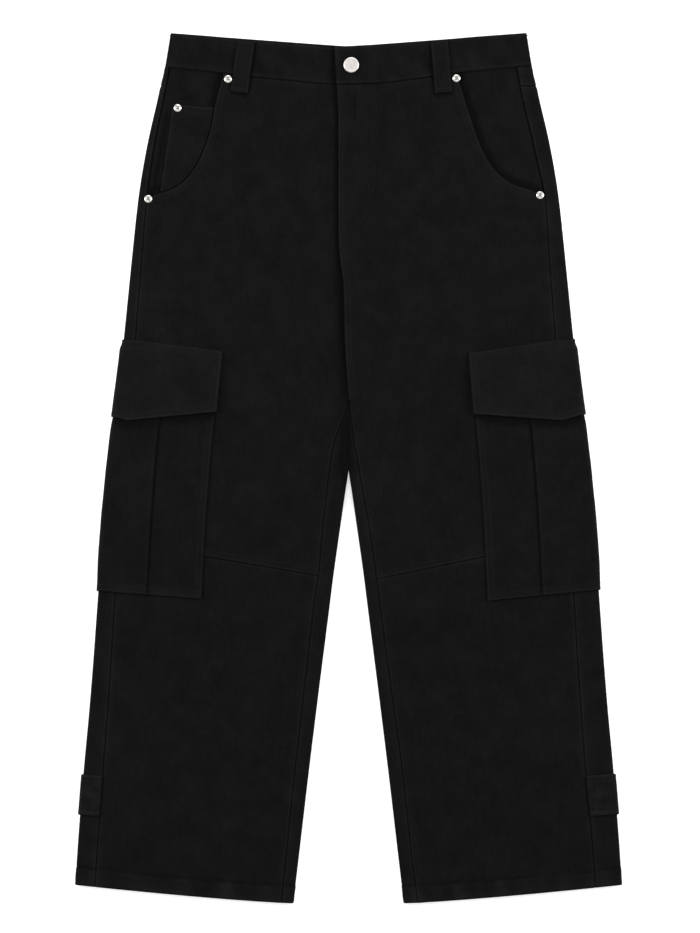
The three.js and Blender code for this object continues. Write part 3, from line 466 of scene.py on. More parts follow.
def sew(name, lines, pitch=3.1, seed=1):
    """Lock stitches along lines of (points, outward directions), each one a small lens of thread."""
    chance = np.random.default_rng(seed)
    sides = 5
    turn = np.arange(sides) * 2 * math.pi / sides
    ring = np.stack([np.zeros(sides), np.cos(turn) * 0.42, np.sin(turn) * 0.34], -1)
    shape = np.vstack([[(-1.15, 0, 0)], ring + (-0.6, 0, 0), ring + (0.6, 0, 0), [(1.15, 0, 0)]])
    faces = []
    for i in range(sides):
        j = (i + 1) % sides
        faces.append((0, 1 + j, 1 + i))
        faces.append((1 + i, 1 + j, 1 + sides + j, 1 + sides + i))
        faces.append((1 + 2 * sides, 1 + sides + i, 1 + sides + j))
    points = []
    for path, normals in lines:
        reach = np.concatenate([[0], np.cumsum(np.linalg.norm(np.diff(path, axis=0), axis=1))])
        count = max(1, int(reach[-1] // pitch))
        middle = (np.arange(count) + 0.5) * reach[-1] / count

        def along(values, at):
            return np.stack([np.interp(at, reach, values[:, i]) for i in range(3)], -1)

        forward = unit(along(path, middle + 0.6) - along(path, middle - 0.6))
        up = along(normals, middle)
        up = unit(up - forward * np.sum(up * forward, axis=1, keepdims=True))
        beside = np.cross(up, forward)
        forward = unit(forward + beside * chance.normal(0, 0.05, (count, 1)))
        long = chance.normal(1, 0.06, (count, 1, 1))
        centre = along(path, middle) + up * 0.08
        points.append(
            centre[:, None]
            + forward[:, None] * shape[None, :, :1] * long
            + beside[:, None] * shape[None, :, 1:2]
            + up[:, None] * shape[None, :, 2:]
        )
    points = np.concatenate(points)
    count, size = points.shape[:2]
    every = [tuple(corner + k * size for corner in face) for k in range(count) for face in faces]
    made = new_object(name, points.reshape(-1, 3), every, THREAD)
    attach(made, "root")
    return made


def leg_points(side, edge, down, turn, out):
    across, height = on_leg(side, edge, down, turn, out)
    return place(side, across, down, height)


def round_leg(side, edge, down, turn, out=0.0):
    """A line of points round the leg with the directions out of it."""
    near = leg_points(side, edge, down, turn, out)
    return near, unit(leg_points(side, edge, down, turn, out + 0.5) - near)


def under_leg(side, across, down):
    """A line of points on the underside with the directions out of it."""
    points = place(side, across, down, floor_height(side, across, down) + 0.3)
    return points, np.tile((0.0, 0.0, -1.0), (len(points), 1))


def crotch_shade(side, across, down):
    """Painted shade where the legs press together below the crotch, most of all on the right one."""
    from_edge = np.maximum(0, across - inner(down))
    soft = 0.5 * bell(from_edge, 13) * ramp(440, 470, down) * (1 - ramp(505, 545, down))
    deep = (0.6 + 0.9 * ramp(462, 480, down)) * np.exp(-from_edge / 4.8) * ramp(437, 441, down)
    return -(soft + deep * (1 - ramp(522, 560, down))) * (1.0 if side == "right" else 0.45)


# Places round a back, in the order of its columns: part of the way round, and how far along that part
BACK_ROUND = (
    [("side", at) for at in (0, 0.03, 0.07, 0.13, 0.2, 0.3, 0.42, 0.56, 0.7, 0.85)]
    + [("outer", at) for at in np.linspace(0, 1, 9)]
    + [("floor", at) for at in np.linspace(0, 1, 66)[1:-1]]
    + [("inner", at) for at in np.linspace(0, 1, 9)]
    + [("inseam", at) for at in (0.15, 0.3, 0.44, 0.58, 0.7, 0.8, 0.87, 0.93, 0.97, 1)]
)
CENTRE_STRIP = 6  # beside the centre back, where the columns of the inner edge go above the crotch


def back_round(side, places, down, out):
    """Across and height of the back's columns. down and out have a column for each place."""
    across = np.empty_like(down)
    height = np.empty_like(down)
    for column, (part, at) in enumerate(places):
        here = down[:, column]
        shift = out[:, column]
        seam_turn = QUARTER + side_in(side, here) - RADIUS - SEAM / 2
        split = here > CROTCH - 0.4
        if part == "side":
            x, z = on_leg(side, "outer", here, mix(seam_turn, QUARTER, at), shift)
        elif part == "outer":
            x, z = on_leg(side, "outer", here, mix(QUARTER, -QUARTER, at), shift)
        elif part == "floor":
            x = mix(outer(here) - RADIUS, np.where(split, inner(here) + RADIUS, CENTRE_STRIP), at)
            z = floor_height(side, x, here) - shift
        else:
            end = QUARTER + inseam_line(side, here) - inner(here) - RADIUS - SEAM / 2
            bent = np.minimum(QUARTER, end - 0.6)
            turn = mix(-QUARTER, bent, at) if part == "inner" else mix(bent, end, at)
            x, z = on_leg(side, "inner", here, turn, shift)
            order = at / 2 if part == "inner" else 0.5 + at / 2
            centre = mix(CENTRE_STRIP, SEAM / 2 * (1 - ramp(400, 430, here)), order)
            z = np.where(split, z, floor_height(side, centre, here) - shift)
            x = np.where(split, x, centre)
        across[:, column] = x
        height[:, column] = z
    return across, height


def back_points(side, places, down, out):
    across, height = back_round(side, places, down, out)
    return place(side, across, down, height)


# Rows above the hem's edge, closer together at its stitching and at its fold
HEM_ROWS = (29, 26, 24, 22.8, 21.8, 20.8, 19.4, 17, 14, 11, 8, 5.5, 3.6, 2.2, 1.2, 0.5, 0)


def back_rows():
    """Heights of the back's rows, at its side seam and at its centre or inseam."""
    top = spread(330, 4.2)[:-6]
    above_crotch = (386, CROTCH - 0.6)
    below_crotch = (387.2, CROTCH + 0.6)
    pairs = []
    for t in top / top[-1]:
        pairs.append((mix(YOKE_SIDE, above_crotch[0], t), mix(YOKE_CENTRE, above_crotch[1], t)))
    for t in np.linspace(0, 0.94, 138) ** 1.03:
        pairs.append((mix(below_crotch[0], HEM_SIDE, t), mix(below_crotch[1], HEM_INNER, t)))
    return np.array(pairs + [(HEM_SIDE - up, HEM_INNER - up) for up in HEM_ROWS])


def hem_relief(across, down, x):
    """The hem: two more layers below its stitching, drawn in along it, and slightly roped. Its wear has
    painted shade in the groove along the stitching.
    """
    up = hem(across) - down
    doubled = 0.45 * (1 - ramp(HEM_DEPTH - 1, HEM_DEPTH + 1.4, up)) * ramp(-0.2, 2.5, up)
    drawn = -0.3 * bell(up - HEM_DEPTH, 1.3) * (1 + 0.4 * np.sin(x * 0.9 + 0.3 * np.sin(x * 0.11)))
    roped = 0.14 * np.sin((x + up * 0.9) * 2 * math.pi / 17) * ramp(0, 4, up) * (1 - ramp(15, HEM_DEPTH, up))
    worn = 0.22 * (1 - ramp(3, 12, up)) + 0.12 * (1 - ramp(HEM_DEPTH - 2, HEM_DEPTH, up))
    patchy = 0.25 * ripple(x, up * 0.3, 24, 6) * (1 - ramp(HEM_DEPTH - 3, HEM_DEPTH, up))
    return doubled + drawn + roped, worn + patchy - 0.8 * bell(up - HEM_DEPTH, 1.1)


def fill_back(side, places, down_at, rows):
    """Heights down of every point, once where it lies across is known."""
    down = np.tile(down_at(np.zeros(len(places)), rows[0])[None], (len(rows), 1))
    for _ in range(3):
        across, _height = back_round(side, places, down, np.zeros_like(down))
        down = np.stack([down_at(across[i], row) for i, row in enumerate(rows)])
    return down


for side in ("right", "left"):
    rows = back_rows()

    def leg_down(across, row, side=side):
        side_down, inseam_down = row
        if side_down == HEM_SIDE:
            return hem(across)
        start = side_line(side, side_down)
        end = inseam_line(side, inseam_down) if inseam_down > CROTCH else 0
        gap = SEAM if side_down == YOKE_SIDE else 0
        return mix(side_down, inseam_down, np.clip((across - start) / (end - start), 0, 1)) + gap

    down = fill_back(side, BACK_ROUND, leg_down, rows)
    across, height = back_round(side, BACK_ROUND, down, np.zeros_like(down))
    base = place(side, across, down, height)
    from_side, from_inner = lengths_along(base)
    from_yoke = down - down[:1]
    hem_height, hem_wear_and_shade = hem_relief(across, down, SIGN[side] * across)
    on_floor = (height < lift(side, across, down) + 1.5).astype(float)
    relief = beside_seam(from_side) + beside_seam(from_inner, 0.22) + beside_seam(from_yoke) + hem_height
    relief = relief * (1 - on_floor) + np.minimum(relief, 0) * on_floor
    edge_worn = 0.25 * bell(from_side - side_in(side, down) - 1, 4)
    wear_and_shade = seam_wear_and_shade(from_side) + 0.7 * seam_wear_and_shade(from_inner) + seam_wear_and_shade(from_yoke) + hem_wear_and_shade + edge_worn
    wear_and_shade = wear_and_shade + crotch_shade(side, across, down)
    face = back_points(side, BACK_ROUND, down, relief)
    lining = back_points(side, BACK_ROUND, down, relief - WALL)
    flat = np.stack([from_side, down], -1)
    cloth(f"back_{side}", face, lining, flat, wear_and_shade)

    hem_across = np.linspace(inseam_line(side, 1020) - 2, 300, 220)
    lines = [under_leg(side, hem_across, hem(hem_across) - HEM_DEPTH)]
    strip_down = np.full(40, float(hem(310)) - HEM_DEPTH)
    strip_turn = np.linspace(QUARTER + side_in(side, HEM_STITCH_SIDE) - RADIUS - 1, -QUARTER, 40)
    lines.append(round_leg(side, "outer", strip_down, strip_turn))
    inseam_in = inseam_line(side, HEM_STITCH_INNER) - inner(HEM_STITCH_INNER)
    inner_turn = np.linspace(-QUARTER, QUARTER + inseam_in - RADIUS - 1, 40)
    lines.append(round_leg(side, "inner", np.full(40, HEM_INNER - HEM_DEPTH), inner_turn))
    sew(f"stitches_back_{side}", lines, seed=11)

# The back yokes: a shallow panel across the seat between the waistband and each back leg.
# They are cut from the same twill, topstitched along their lower seam, and their ends show
# on the front between the side seam and the outer edge.
BAND_SIDE = 205  # from here in, the band's edges run straight to the centre back

# The waistband's top edge and lower seam: x, top, seam
WAIST = np.array([
    (-222, 0, 41),
    (-155, 5.4, 48.2),
    (-118, 9.2, 52.8),
    (-65, 13.6, 58),
    (-16, 16.8, 62),
    (27, 15, 61),
    (100, 10, 53),
    (137, 6.4, 47.6),
    (220, 0, 39.6),
])


def waist_top(side, across):
    return read(WAIST, 1, SIGN[side] * across)


def waist_seam(side, across):
    return read(WAIST, 2, SIGN[side] * across)


def at_back(edge, side, across):
    straight = mix(edge("left", 0), edge(side, BAND_SIDE), across / BAND_SIDE)
    return np.where(across > BAND_SIDE, edge(side, across), straight)


def yoke_seam(across):
    return mix(YOKE_CENTRE, YOKE_SIDE, np.clip(across / side_line("left", YOKE_SIDE), 0, 1))


YOKE_ROUND = [spot for spot in BACK_ROUND if spot[0] in ("side", "outer", "floor")] + [("inseam", 1.0)]

for side in ("right", "left"):

    def yoke_down(across, v, side=side):
        return mix(at_back(waist_seam, side, across) + 0.02, yoke_seam(across), v)

    rows = spread(46, 3.2)
    down = fill_back(side, YOKE_ROUND, yoke_down, rows)
    across, height = back_round(side, YOKE_ROUND, down, np.zeros_like(down))
    base = place(side, across, down, height)
    from_side, from_centre = lengths_along(base)
    from_band = down - down[:1]
    from_leg = down[-1:] - down
    on_floor = (height < 1.5).astype(float)
    relief = beside_seam(from_side) + beside_seam(from_band, 0.1) + beside_seam(from_leg)
    relief = relief * (1 - on_floor) + np.minimum(relief, 0) * on_floor
    wear_and_shade = seam_wear_and_shade(from_side) + seam_wear_and_shade(from_leg) + 0.6 * seam_wear_and_shade(from_band)
    face = back_points(side, YOKE_ROUND, down, relief)
    lining = back_points(side, YOKE_ROUND, down, relief - WALL)
    flat = np.stack([from_side, down], -1)
    cloth(f"back_yoke_{side}", face, lining, flat, wear_and_shade)

    lines = []
    for up in (2, 8):
        seam_down = np.full(40, float(YOKE_SIDE - up))
        seam_turn = np.linspace(QUARTER + side_in(side, YOKE_SIDE) - RADIUS - 1, -QUARTER, 40)
        lines.append(round_leg(side, "outer", seam_down, seam_turn, 0.1))
        floor_across = np.linspace(215, 1, 200)
        lines.append(under_leg(side, floor_across, yoke_seam(floor_across) - up))
    sew(f"stitches_back_yoke_{side}", lines, seed=12)

# The front legs above the knee seam: twill, with the slant pocket's curved mouth cut into the top.
# The left front laps over the right one down the fly and the two are sewn together below it.
# The mouth, the fly and the seams are topstitched in black.
KNEE = {"right": (652, 0.17), "left": (656, 0.208)}

# The slant pockets' mouths, from the waist seam to the side seam
MOUTH = {
    "right": [
        (150.5, 49), (154.9, 65), (161.2, 89.5), (165, 112.3), (170.8, 131.5), (178.7, 151.3),
        (188.4, 167.5), (200.8, 180.7), (214.8, 188.6), (228.8, 193.3), (242.1, 198),
    ],
    "left": [
        (130, 49), (135, 64.7), (146, 99.7), (159, 136.3), (173.6, 162.2), (192.1, 178.8),
        (206.8, 185.3), (221.5, 189.5), (235.4, 196),
    ],
}

# The centre line, for each height down: the lap's edge, how far the right front reaches under it,
# and the rise and the sink beside it
CENTRE = np.array([
    (20, -16.6, 16, 1, 1),
    (61, -14.6, 16, 1, 1),
    (105, -12.7, 16, 1, 1),
    (240, -12.7, 16, 1, 1),
    (268, -10.8, 9, 1, 1.1),
    (310, -6.1, 3, 0.8, 1.7),
    (350, -5.4, 3, 0.8, 1.8),
    (385, -4.1, -0.14, 0.8, 1.6),
    (425, -1.4, -0.1, 0.3, 0.6),
    (439.3, 0.2, 0.0, 0, 0.3),
])

MOUTH_SHARE = 0.4  # of a front's rows lie beside its mouth
CENTRE_SHARE = 0.62  # and beside its centre line
FRONT_OVER = 1.2  # how far the fronts reach over the crotch
FAR = 99  # distance that counts as away from a seam
DOUBLE_ROW = (2.2, 8)  # two rows of topstitching, from their seam

# The belt loops, with painted shadow on the cloth beside them
LOOP_WIDTH = 20.4
LOOP_LENGTH = 62
LOOP_GAP = 0.6  # below the waistband's edge
LOOP_LINE = {"right": (122.6, 131.2), "left": (108.8, 114)}


def centre_shape(side, across, down):
    """Rise of the left front, or sinking of the right one, beside the centre line."""
    lap = read(CENTRE, 1, down)
    if side == "left":
        lower = ramp(240, 310, down)
        flat_end = mix(12, lap + 4, lower)
        shape = read(CENTRE, 3, down) * (1 - ramp(flat_end, flat_end + mix(34, 16, lower), across))
    else:
        shape = -read(CENTRE, 4, down) * (1 - ramp(-lap + 1, -lap + 17, across))
    return np.where(down > CROTCH, 0, shape)


def centre_edge(side, down):
    lap = read(CENTRE, 1, down)
    return lap if side == "left" else -(lap + read(CENTRE, 2, down))


def knee_at(side, across):
    inner_down, slope = KNEE[side]
    return inner_down - slope * (across - inseam_line(side, inner_down))


def knee_side(side):
    down = KNEE[side][0]
    for _ in range(6):
        down = float(knee_at(side, side_line(side, down)))
    return down


def along_line(line, share):
    """Points at shares from 0 to 1 of the points of a line."""
    even = np.linspace(0, 1, len(line))
    return np.stack([np.interp(share, even, line[:, i]) for i in range(2)], -1)


def past(v, share):
    """How far v has gone from that share to 1."""
    return np.clip((v - share) / (1 - share), 0, 1)


def distance_to(line, across, down):
    """Distance from each place to a line of points."""
    nearest = np.full(across.shape, 1e9)
    for (x1, y1), (x2, y2) in zip(line[:-1], line[1:]):
        run = (x2 - x1) ** 2 + (y2 - y1) ** 2
        t = np.clip(((across - x1) * (x2 - x1) + (down - y1) * (y2 - y1)) / run, 0, 1)
        nearest = np.minimum(nearest, np.hypot(across - x1 - t * (x2 - x1), down - y1 - t * (y2 - y1)))
    return nearest


def fill_patch(u, v, top, bottom, start, end):
    """A grid inside four border lines, as across and down."""
    across_way = u[None, :, None]
    down_way = v[:, None, None]
    sides = mix(start[:, None], end[:, None], across_way)
    ends = mix(top[None], bottom[None], down_way)
    corners = mix(mix(top[0], top[-1], across_way), mix(bottom[0], bottom[-1], across_way), down_way)
    grid = sides + ends - corners
    return grid[..., 0], grid[..., 1]


def fly_stitching(down):
    """The outer line of the fly's topstitching."""
    return read(np.array([(60, 33.5), (150, 33), (190, 29.5), (218, 21), (238, 8), (252, -8)]), 1, down)


def loop_shade(side, across, down):
    """Painted shadow beside a belt loop, on its inner side and less on its outer one, and below its foot."""
    top_across, foot_across = LOOP_LINE[side]
    share = np.clip((down - waist_top(side, top_across)) / LOOP_LENGTH, 0, 1)
    beside = across - mix(top_across, foot_across, share)
    foot_down = waist_top(side, top_across) + LOOP_GAP + LOOP_LENGTH
    past_foot = down - foot_down + beside * (foot_across - top_across) / LOOP_LENGTH
    ends = 1 - ramp(0, 3, past_foot)
    inside = bell(beside + LOOP_WIDTH / 2 + 0.6, 1.7)
    outside = bell(beside - LOOP_WIDTH / 2 - 0.3, 1.2)
    under_foot = 1 - ramp(LOOP_WIDTH / 2 - 1, LOOP_WIDTH / 2 + 1, np.abs(beside))
    below = bell(past_foot - 1.3, 2.4) * under_foot
    return -(0.95 * inside + 0.45 * outside) * ends - 1.2 * below


def upper_relief(side, across, down):
    """Relief and wear of the front above the knee, with painted shade in its seams, stitch grooves and
    valleys, beside the belt loops and below the crotch.
    """
    x = SIGN[side] * across
    mouth = distance_to(dense(MOUTH[side], 6), across, down)
    seam = np.where(down > MOUTH[side][-1][1] - 2, np.abs(side_line(side, down) - across), FAR)
    waist = np.abs(down - waist_seam(side, across))
    knee = np.abs(knee_at(side, across) - down) * 0.98
    below = ramp(CROTCH, CROTCH + 30, down)
    inseam = np.where(down > CROTCH, np.abs(across - inseam_line(side, down)), FAR)
    centre = np.where(down < CROTCH, np.abs(across - centre_edge("left", down) * SIGN[side]), FAR)
    relief = beside_seam(mouth, 0.3, 8, 0.5) + beside_seam(seam, 0.12) + beside_seam(waist, 0.1)
    relief = relief + beside_seam(knee, 0.32, 8) + beside_seam(inseam, 0.28) * below
    wear_and_shade = seam_wear_and_shade(mouth, 7) + 0.8 * seam_wear_and_shade(seam, 4) + 0.6 * seam_wear_and_shade(waist) + seam_wear_and_shade(knee, 7)
    # Just below the crotch the inseam is dark with painted shade.
    wear_and_shade = wear_and_shade + 0.8 * seam_wear_and_shade(inseam) * below - 0.5 * bell(inseam, 0.8) * (1 - below)
    wear_and_shade = wear_and_shade + loop_shade(side, across, down) + crotch_shade(side, across, down)
    beside_fly = 0.1 + 0.12 * ramp(112, 125, down) * (1 - ramp(228, 245, down))
    pucker = beside_fly * np.sin(down * 0.92 + 1.7 * np.sin(down * 0.13)) * bell(centre - 10, 6)
    if side == "left":
        relief = relief + beside_seam(centre, 0.2, 9, 0.3) + 1.6 * pucker
        wear_and_shade = wear_and_shade + seam_wear_and_shade(centre, 8)
        fly = np.where(down < 258, across - fly_stitching(down), FAR)
        relief = relief - 0.22 * bell(fly, 1.4) - 0.18 * bell(fly + 6.5, 1.4)
        # Painted shade in the grooves of the fly's two rows of stitching and in a short crease, lighter
        # between the rows.
        wear_and_shade = wear_and_shade + 0.14 * bell(fly + 3.2, 2.4) - 0.3 * bell(fly, 1.2)
        wear_and_shade = wear_and_shade - 0.3 * bell(fly + 6.5, 1.2)
        crease_shade = bell(across - 6.8, 1.5) * ramp(68, 76, down) * (1 - ramp(104, 112, down))
        wear_and_shade = wear_and_shade - 0.35 * crease_shade
    else:
        # Painted shade in the valley where the right front sinks beside the lap's edge.
        wear_and_shade = wear_and_shade - 2.1 * np.exp(-centre / mix(2.2, 4.2, ramp(240, 300, down)))
        relief = relief + pucker
    knee_pucker = 0.1 * np.sin(x * 0.8 + 1.5 * np.sin(x * 0.1)) * bell(knee - 3, 4)
    return relief + knee_pucker, wear_and_shade


def upper_face(side, across, down):
    relief, _wear_and_shade = upper_relief(side, across, down)
    return front_height(side, across, down) + centre_shape(side, across, down) + relief


def along_side(side, down):
    return np.stack([side_line(side, down) - SEAM / 2, down], -1)


def along_inseam(side, down):
    return np.stack([inseam_line(side, down) + SEAM / 2, down], -1)


def border(start, end, u, down_of):
    """A border between two corners, at the heights that down_of gives."""
    across = mix(start[0], end[0], u)
    return np.stack([across, down_of(across)], -1)


def front_panel(node, side, across, down, height, wear_and_shade):
    face = place(side, across, down, height)
    lining = place(side, across, down, height - WALL)
    flat = np.stack([SIGN[side] * across, down], -1)
    cloth(node, face, lining, flat, wear_and_shade)


def on_front(side, path, face_of=upper_face):
    """Points and directions of a line of stitches on the front."""
    line = dense(path)
    across, down = line[:, 0], line[:, 1]
    points = place(side, across, down, face_of(side, across, down))
    return points, np.tile((0.0, 0.0, 1.0), (len(line), 1))


def shifted(path, offset):
    """A path moved to its side by offset."""
    line = dense(path, 4)
    way = unit(np.gradient(line, axis=0))
    return line + offset * np.stack([-way[:, 1], way[:, 0]], -1)


for side in ("right", "left"):
    knee_inner = KNEE[side][0]
    v = spread(640, 3.3)
    u = spread(230, 3.3)
    on_mouth = along_line(dense(MOUTH[side]), np.clip(v / MOUTH_SHARE, 0, 1))
    side_down = mix(MOUTH[side][-1][1], knee_side(side) - SEAM / 2, past(v, MOUTH_SHARE))
    start = np.where(v[:, None] < MOUTH_SHARE, on_mouth, along_side(side, side_down))
    top_down = float(waist_seam(side, 0)) + SEAM
    centre_down = mix(top_down, CROTCH + FRONT_OVER, np.clip(v / CENTRE_SHARE, 0, 1))
    on_centre = np.stack([centre_edge(side, centre_down), centre_down], -1)
    inseam_down = mix(CROTCH + FRONT_OVER, knee_inner - SEAM / 2, past(v, CENTRE_SHARE))
    end = np.where(v[:, None] < CENTRE_SHARE, on_centre, along_inseam(side, inseam_down))
    top = border(start[0], end[0], u, lambda at: waist_seam(side, at) + SEAM)
    bottom = mix(start[-1], end[-1], u[:, None])
    start[0] = top[0]
    end[0] = top[-1]
    across, down = fill_patch(u, v, top, bottom, start, end)
    _relief, wear_and_shade = upper_relief(side, across, down)
    front_panel(f"front_upper_{side}", side, across, down, upper_face(side, across, down), wear_and_shade)

    lines = [on_front(side, shifted(MOUTH[side], offset)[2:-2]) for offset in DOUBLE_ROW]
    knee_ends = (side_line(side, knee_side(side)), inseam_line(side, knee_inner))
    knee_places = [mix(*knee_ends, t) for t in (0.02, 0.5, 0.98)]
    for up in DOUBLE_ROW:
        lines.append(on_front(side, [(at, float(knee_at(side, at)) - up) for at in knee_places]))
    inseam_path = [(float(inseam_line(side, at)) + 2.3, at) for at in (446, 470, 500, 540, 590, 640)]
    lines.append(on_front(side, inseam_path))
    if side == "left":
        lap_path = [(float(read(CENTRE, 1, at)) + 5.7, at) for at in (64, 105, 160, 240, 268)]
        seam_path = [(float(read(CENTRE, 1, at)) + 2.3, at) for at in (268, 310, 350, 385, 430)]
        lines += [on_front(side, lap_path), on_front(side, seam_path)]
        lines.append(on_front(side, [(point[0] + 5.5, point[1]) for point in seam_path]))
        for offset in (0, -6.5):
            path = [(float(fly_stitching(at)) + offset, at) for at in (64, 105, 150, 190, 218, 238, 250)]
            lines.append(on_front(side, path))
    sew(f"stitches_front_upper_{side}", lines, seed=13)

# The front legs below the knee seam: plain twill down to the turned-up hem.
# The seam across the knee is sewn into the leg above, which carries its topstitching.
# A line of stitches holds the hem about twenty millimetres up.


def lower_relief(side, across, down):
    x = SIGN[side] * across
    seam = np.abs(side_line(side, down) - across)
    inseam = np.abs(across - inseam_line(side, down))
    knee = np.abs(down - knee_at(side, across)) * 0.98
    hem_height, hem_wear_and_shade = hem_relief(across, down, x)
    relief = beside_seam(seam, 0.12) + beside_seam(inseam, 0.28) + beside_seam(knee, 0.08) + hem_height
    wear_and_shade = 0.8 * seam_wear_and_shade(seam, 4) + 0.8 * seam_wear_and_shade(inseam) + 0.6 * seam_wear_and_shade(knee, 3) + hem_wear_and_shade
    pucker = 0.09 * np.sin(down * 0.9 + 1.6 * np.sin(down * 0.09)) * bell(inseam - 3, 4)
    return relief + pucker, wear_and_shade


def lower_face(side, across, down):
    relief, _wear_and_shade = lower_relief(side, across, down)
    return front_height(side, across, down) + relief


for side in ("right", "left"):
    knee_inner = KNEE[side][0]
    u = spread(235, 3.3)
    v = np.concatenate([spread(400, 3.3)[:9], np.linspace(0.028, 0.92, 108), 1 - np.array(HEM_ROWS) / 400])
    side_down = mix(knee_side(side) + SEAM / 2, HEM_SIDE, v)
    start = along_side(side, side_down)
    inseam_down = mix(knee_inner + SEAM / 2, HEM_INNER, v)
    end = along_inseam(side, inseam_down)
    top = mix(start[0], end[0], u[:, None])
    bottom = border(start[-1], end[-1], u, hem)
    start[-1] = bottom[0]
    end[-1] = bottom[-1]
    across, down = fill_patch(u, v, top, bottom, start, end)
    _relief, wear_and_shade = lower_relief(side, across, down)
    height = lower_face(side, across, down)
    front_panel(f"front_lower_{side}", side, across, down, height, wear_and_shade)

    hem_from = float(side_line(side, HEM_STITCH_SIDE)) - 1
    hem_to = float(inseam_line(side, HEM_STITCH_INNER)) + 1
    hem_path = [(at, float(hem(at)) - HEM_DEPTH) for at in np.linspace(hem_from, hem_to, 9)]
    inseam_path = [(float(inseam_line(side, at)) + 2.3, at) for at in (666, 720, 800, 900, 1000, 1040)]
    lines = [on_front(side, hem_path, lower_face), on_front(side, inseam_path, lower_face)]
    sew(f"stitches_front_lower_{side}", lines, seed=14)

# The pocket facings: the twill that shows inside the slant pockets' mouths, under the fronts.
# Each is sewn into the waist seam and the side seam, and lies a little lower than the front.
FACING_DROP = 1.8
FACING_TUCK = 0.8  # how far it reaches up under the band
FACING_UNDER = 14  # how far it reaches under the front along the mouth, and at its foot
FACING_FOOT = 16


def facing_face(side, across, down):
    return front_height(side, across, down) - FACING_DROP


for side in ("right", "left"):
    v = spread(150, 3.2)
    u = spread(90, 3.2)
    top_down = float(waist_seam(side, side_line(side, 40))) - FACING_TUCK
    side_down = mix(top_down, MOUTH[side][-1][1] + FACING_UNDER, v)
    start = along_side(side, side_down)
    on_mouth = along_line(dense(MOUTH[side]), v)
    turn = ramp(0.35, 0.9, v)
    end_across = on_mouth[:, 0] - FACING_UNDER * (1 - turn) - FACING_FOOT * turn
    end = np.stack([end_across, on_mouth[:, 1] + FACING_UNDER * turn], -1)
    top = border(start[0], end[0], u, lambda at: waist_seam(side, at) - FACING_TUCK)
    bottom = mix(start[-1], end[-1], u[:, None])
    start[0] = top[0]
    end[0] = top[-1]
    across, down = fill_patch(u, v, top, bottom, start, end)
    seam = np.abs(side_line(side, down) - across)
    waist = np.abs(down - waist_seam(side, across))
    inside = np.minimum(distance_to(dense(MOUTH[side], 6), across, down), 14)
    height = facing_face(side, across, down) + np.minimum(0, beside_seam(seam, 0) + beside_seam(waist, 0))
    # Painted shadow beside the mouth, where the facing lies under the front's edge.
    wear_and_shade = 0.7 * seam_wear_and_shade(seam, 4) + 0.5 * seam_wear_and_shade(waist, 3) - 0.8 * (1 - ramp(1, 12, inside))
    if side == "right":
        # A soft valley and a fold on the right facing, with painted shade in both.
        valley_line = mix(218, 234, np.clip((down - 95) / 95, 0, 1))
        valley = bell(across - valley_line, 3.5) * ramp(78, 110, down)
        fold = crease_sum([(-136, 53, -224, 93, 3.6, 1)], -across, down)
        height = height - 0.4 * valley - 0.3 * fold
        wear_and_shade = wear_and_shade - 0.5 * valley - 0.3 * fold
    front_panel(f"pocket_facing_{side}", side, across, down, height, wear_and_shade)

# The coin pocket: a small patch of twill on the right facing, hemmed and double stitched along its top.
# Its free side is sewn down, and the slant pocket's mouth covers the rest.
PLY = 0.4  # between layers that lie on each other
COIN_WALL = 1.0
COIN_SOLID_WALL = 1.1
COIN_OUT = -FACING_DROP + PLY + COIN_SOLID_WALL
COIN_TOP = np.array((211.5, 85.5))  # the ends of its free side, across and down
COIN_FOOT = np.array((226.5, 189.5))


def coin_face(side, across, down):
    return front_height(side, across, down) + COIN_OUT


mouth = dense(MOUTH["right"])
v = spread(100, 3.0)
u = spread(50, 3.0)
start = mix(COIN_TOP, COIN_FOOT, v[:, None])
share = mix(0.222, 0.9, v)
mouth_way = along_line(unit(np.gradient(mouth, axis=0)), share)
end = along_line(mouth, share) + np.stack([mouth_way[:, 1], -mouth_way[:, 0]], -1)
top = mix(start[0], end[0], u[:, None])
bottom = mix(start[-1], end[-1], u[:, None])
across, down = fill_patch(u, v, top, bottom, start, end)
from_start, _rest = lengths_along(np.stack([across, down, 0 * across], -1))
from_top = down - down[:1]
relief = beside_seam(from_start, 0.15, 6, 0.4) + beside_seam(from_top, 0.2, 9, 0.4)
height = coin_face("right", across, down) + relief
wear_and_shade = seam_wear_and_shade(from_start, 5) + seam_wear_and_shade(from_top, 8)
face = place("right", across, down, height)
lining = place("right", across, down, coin_face("right", across, down) - COIN_WALL)
flat = np.stack([-across, down], -1)
cloth("coin_pocket", face, lining, flat, wear_and_shade)
coin_side = [mix(COIN_TOP, COIN_FOOT, t) - (2.2, 0) for t in (0.03, 0.5, 0.97)]
lines = [on_front("right", coin_side, coin_face)]
for below in (2.2, 8.5):
    coin_top = [(mix(209, 164, t), mix(85.5, 89.5, t) + below) for t in (0, 0.5, 1)]
    lines.append(on_front("right", coin_top, coin_face))
sew("stitches_coin_pocket", lines, seed=15)

# The waistband: two layers of twill with interlining, sewn to the legs and edge-stitched all round.
# Each half runs from its end at the front round the side to the centre back.
# The left half's end laps over the right one under the button.
BAND_WALL = 2.6
BAND_AIR_EDGE = 1.4
BAND_AIR_MIDDLE = 2.4
BAND_RADIUS = BAND_WALL + BAND_AIR_EDGE / 2
BAND_UNDER = -28.0  # the right half's end, under the left one


def band_shape(side, across):
    if side == "left":
        return 1.7 * (1 - ramp(22, 52, across))
    return -1.4 * (1 - ramp(20, 50, across))


def band_top(side, across, down):
    base = front_height(side, across, down, BAND_WALL, BAND_AIR_EDGE, BAND_AIR_MIDDLE)
    return base + band_shape(side, across)


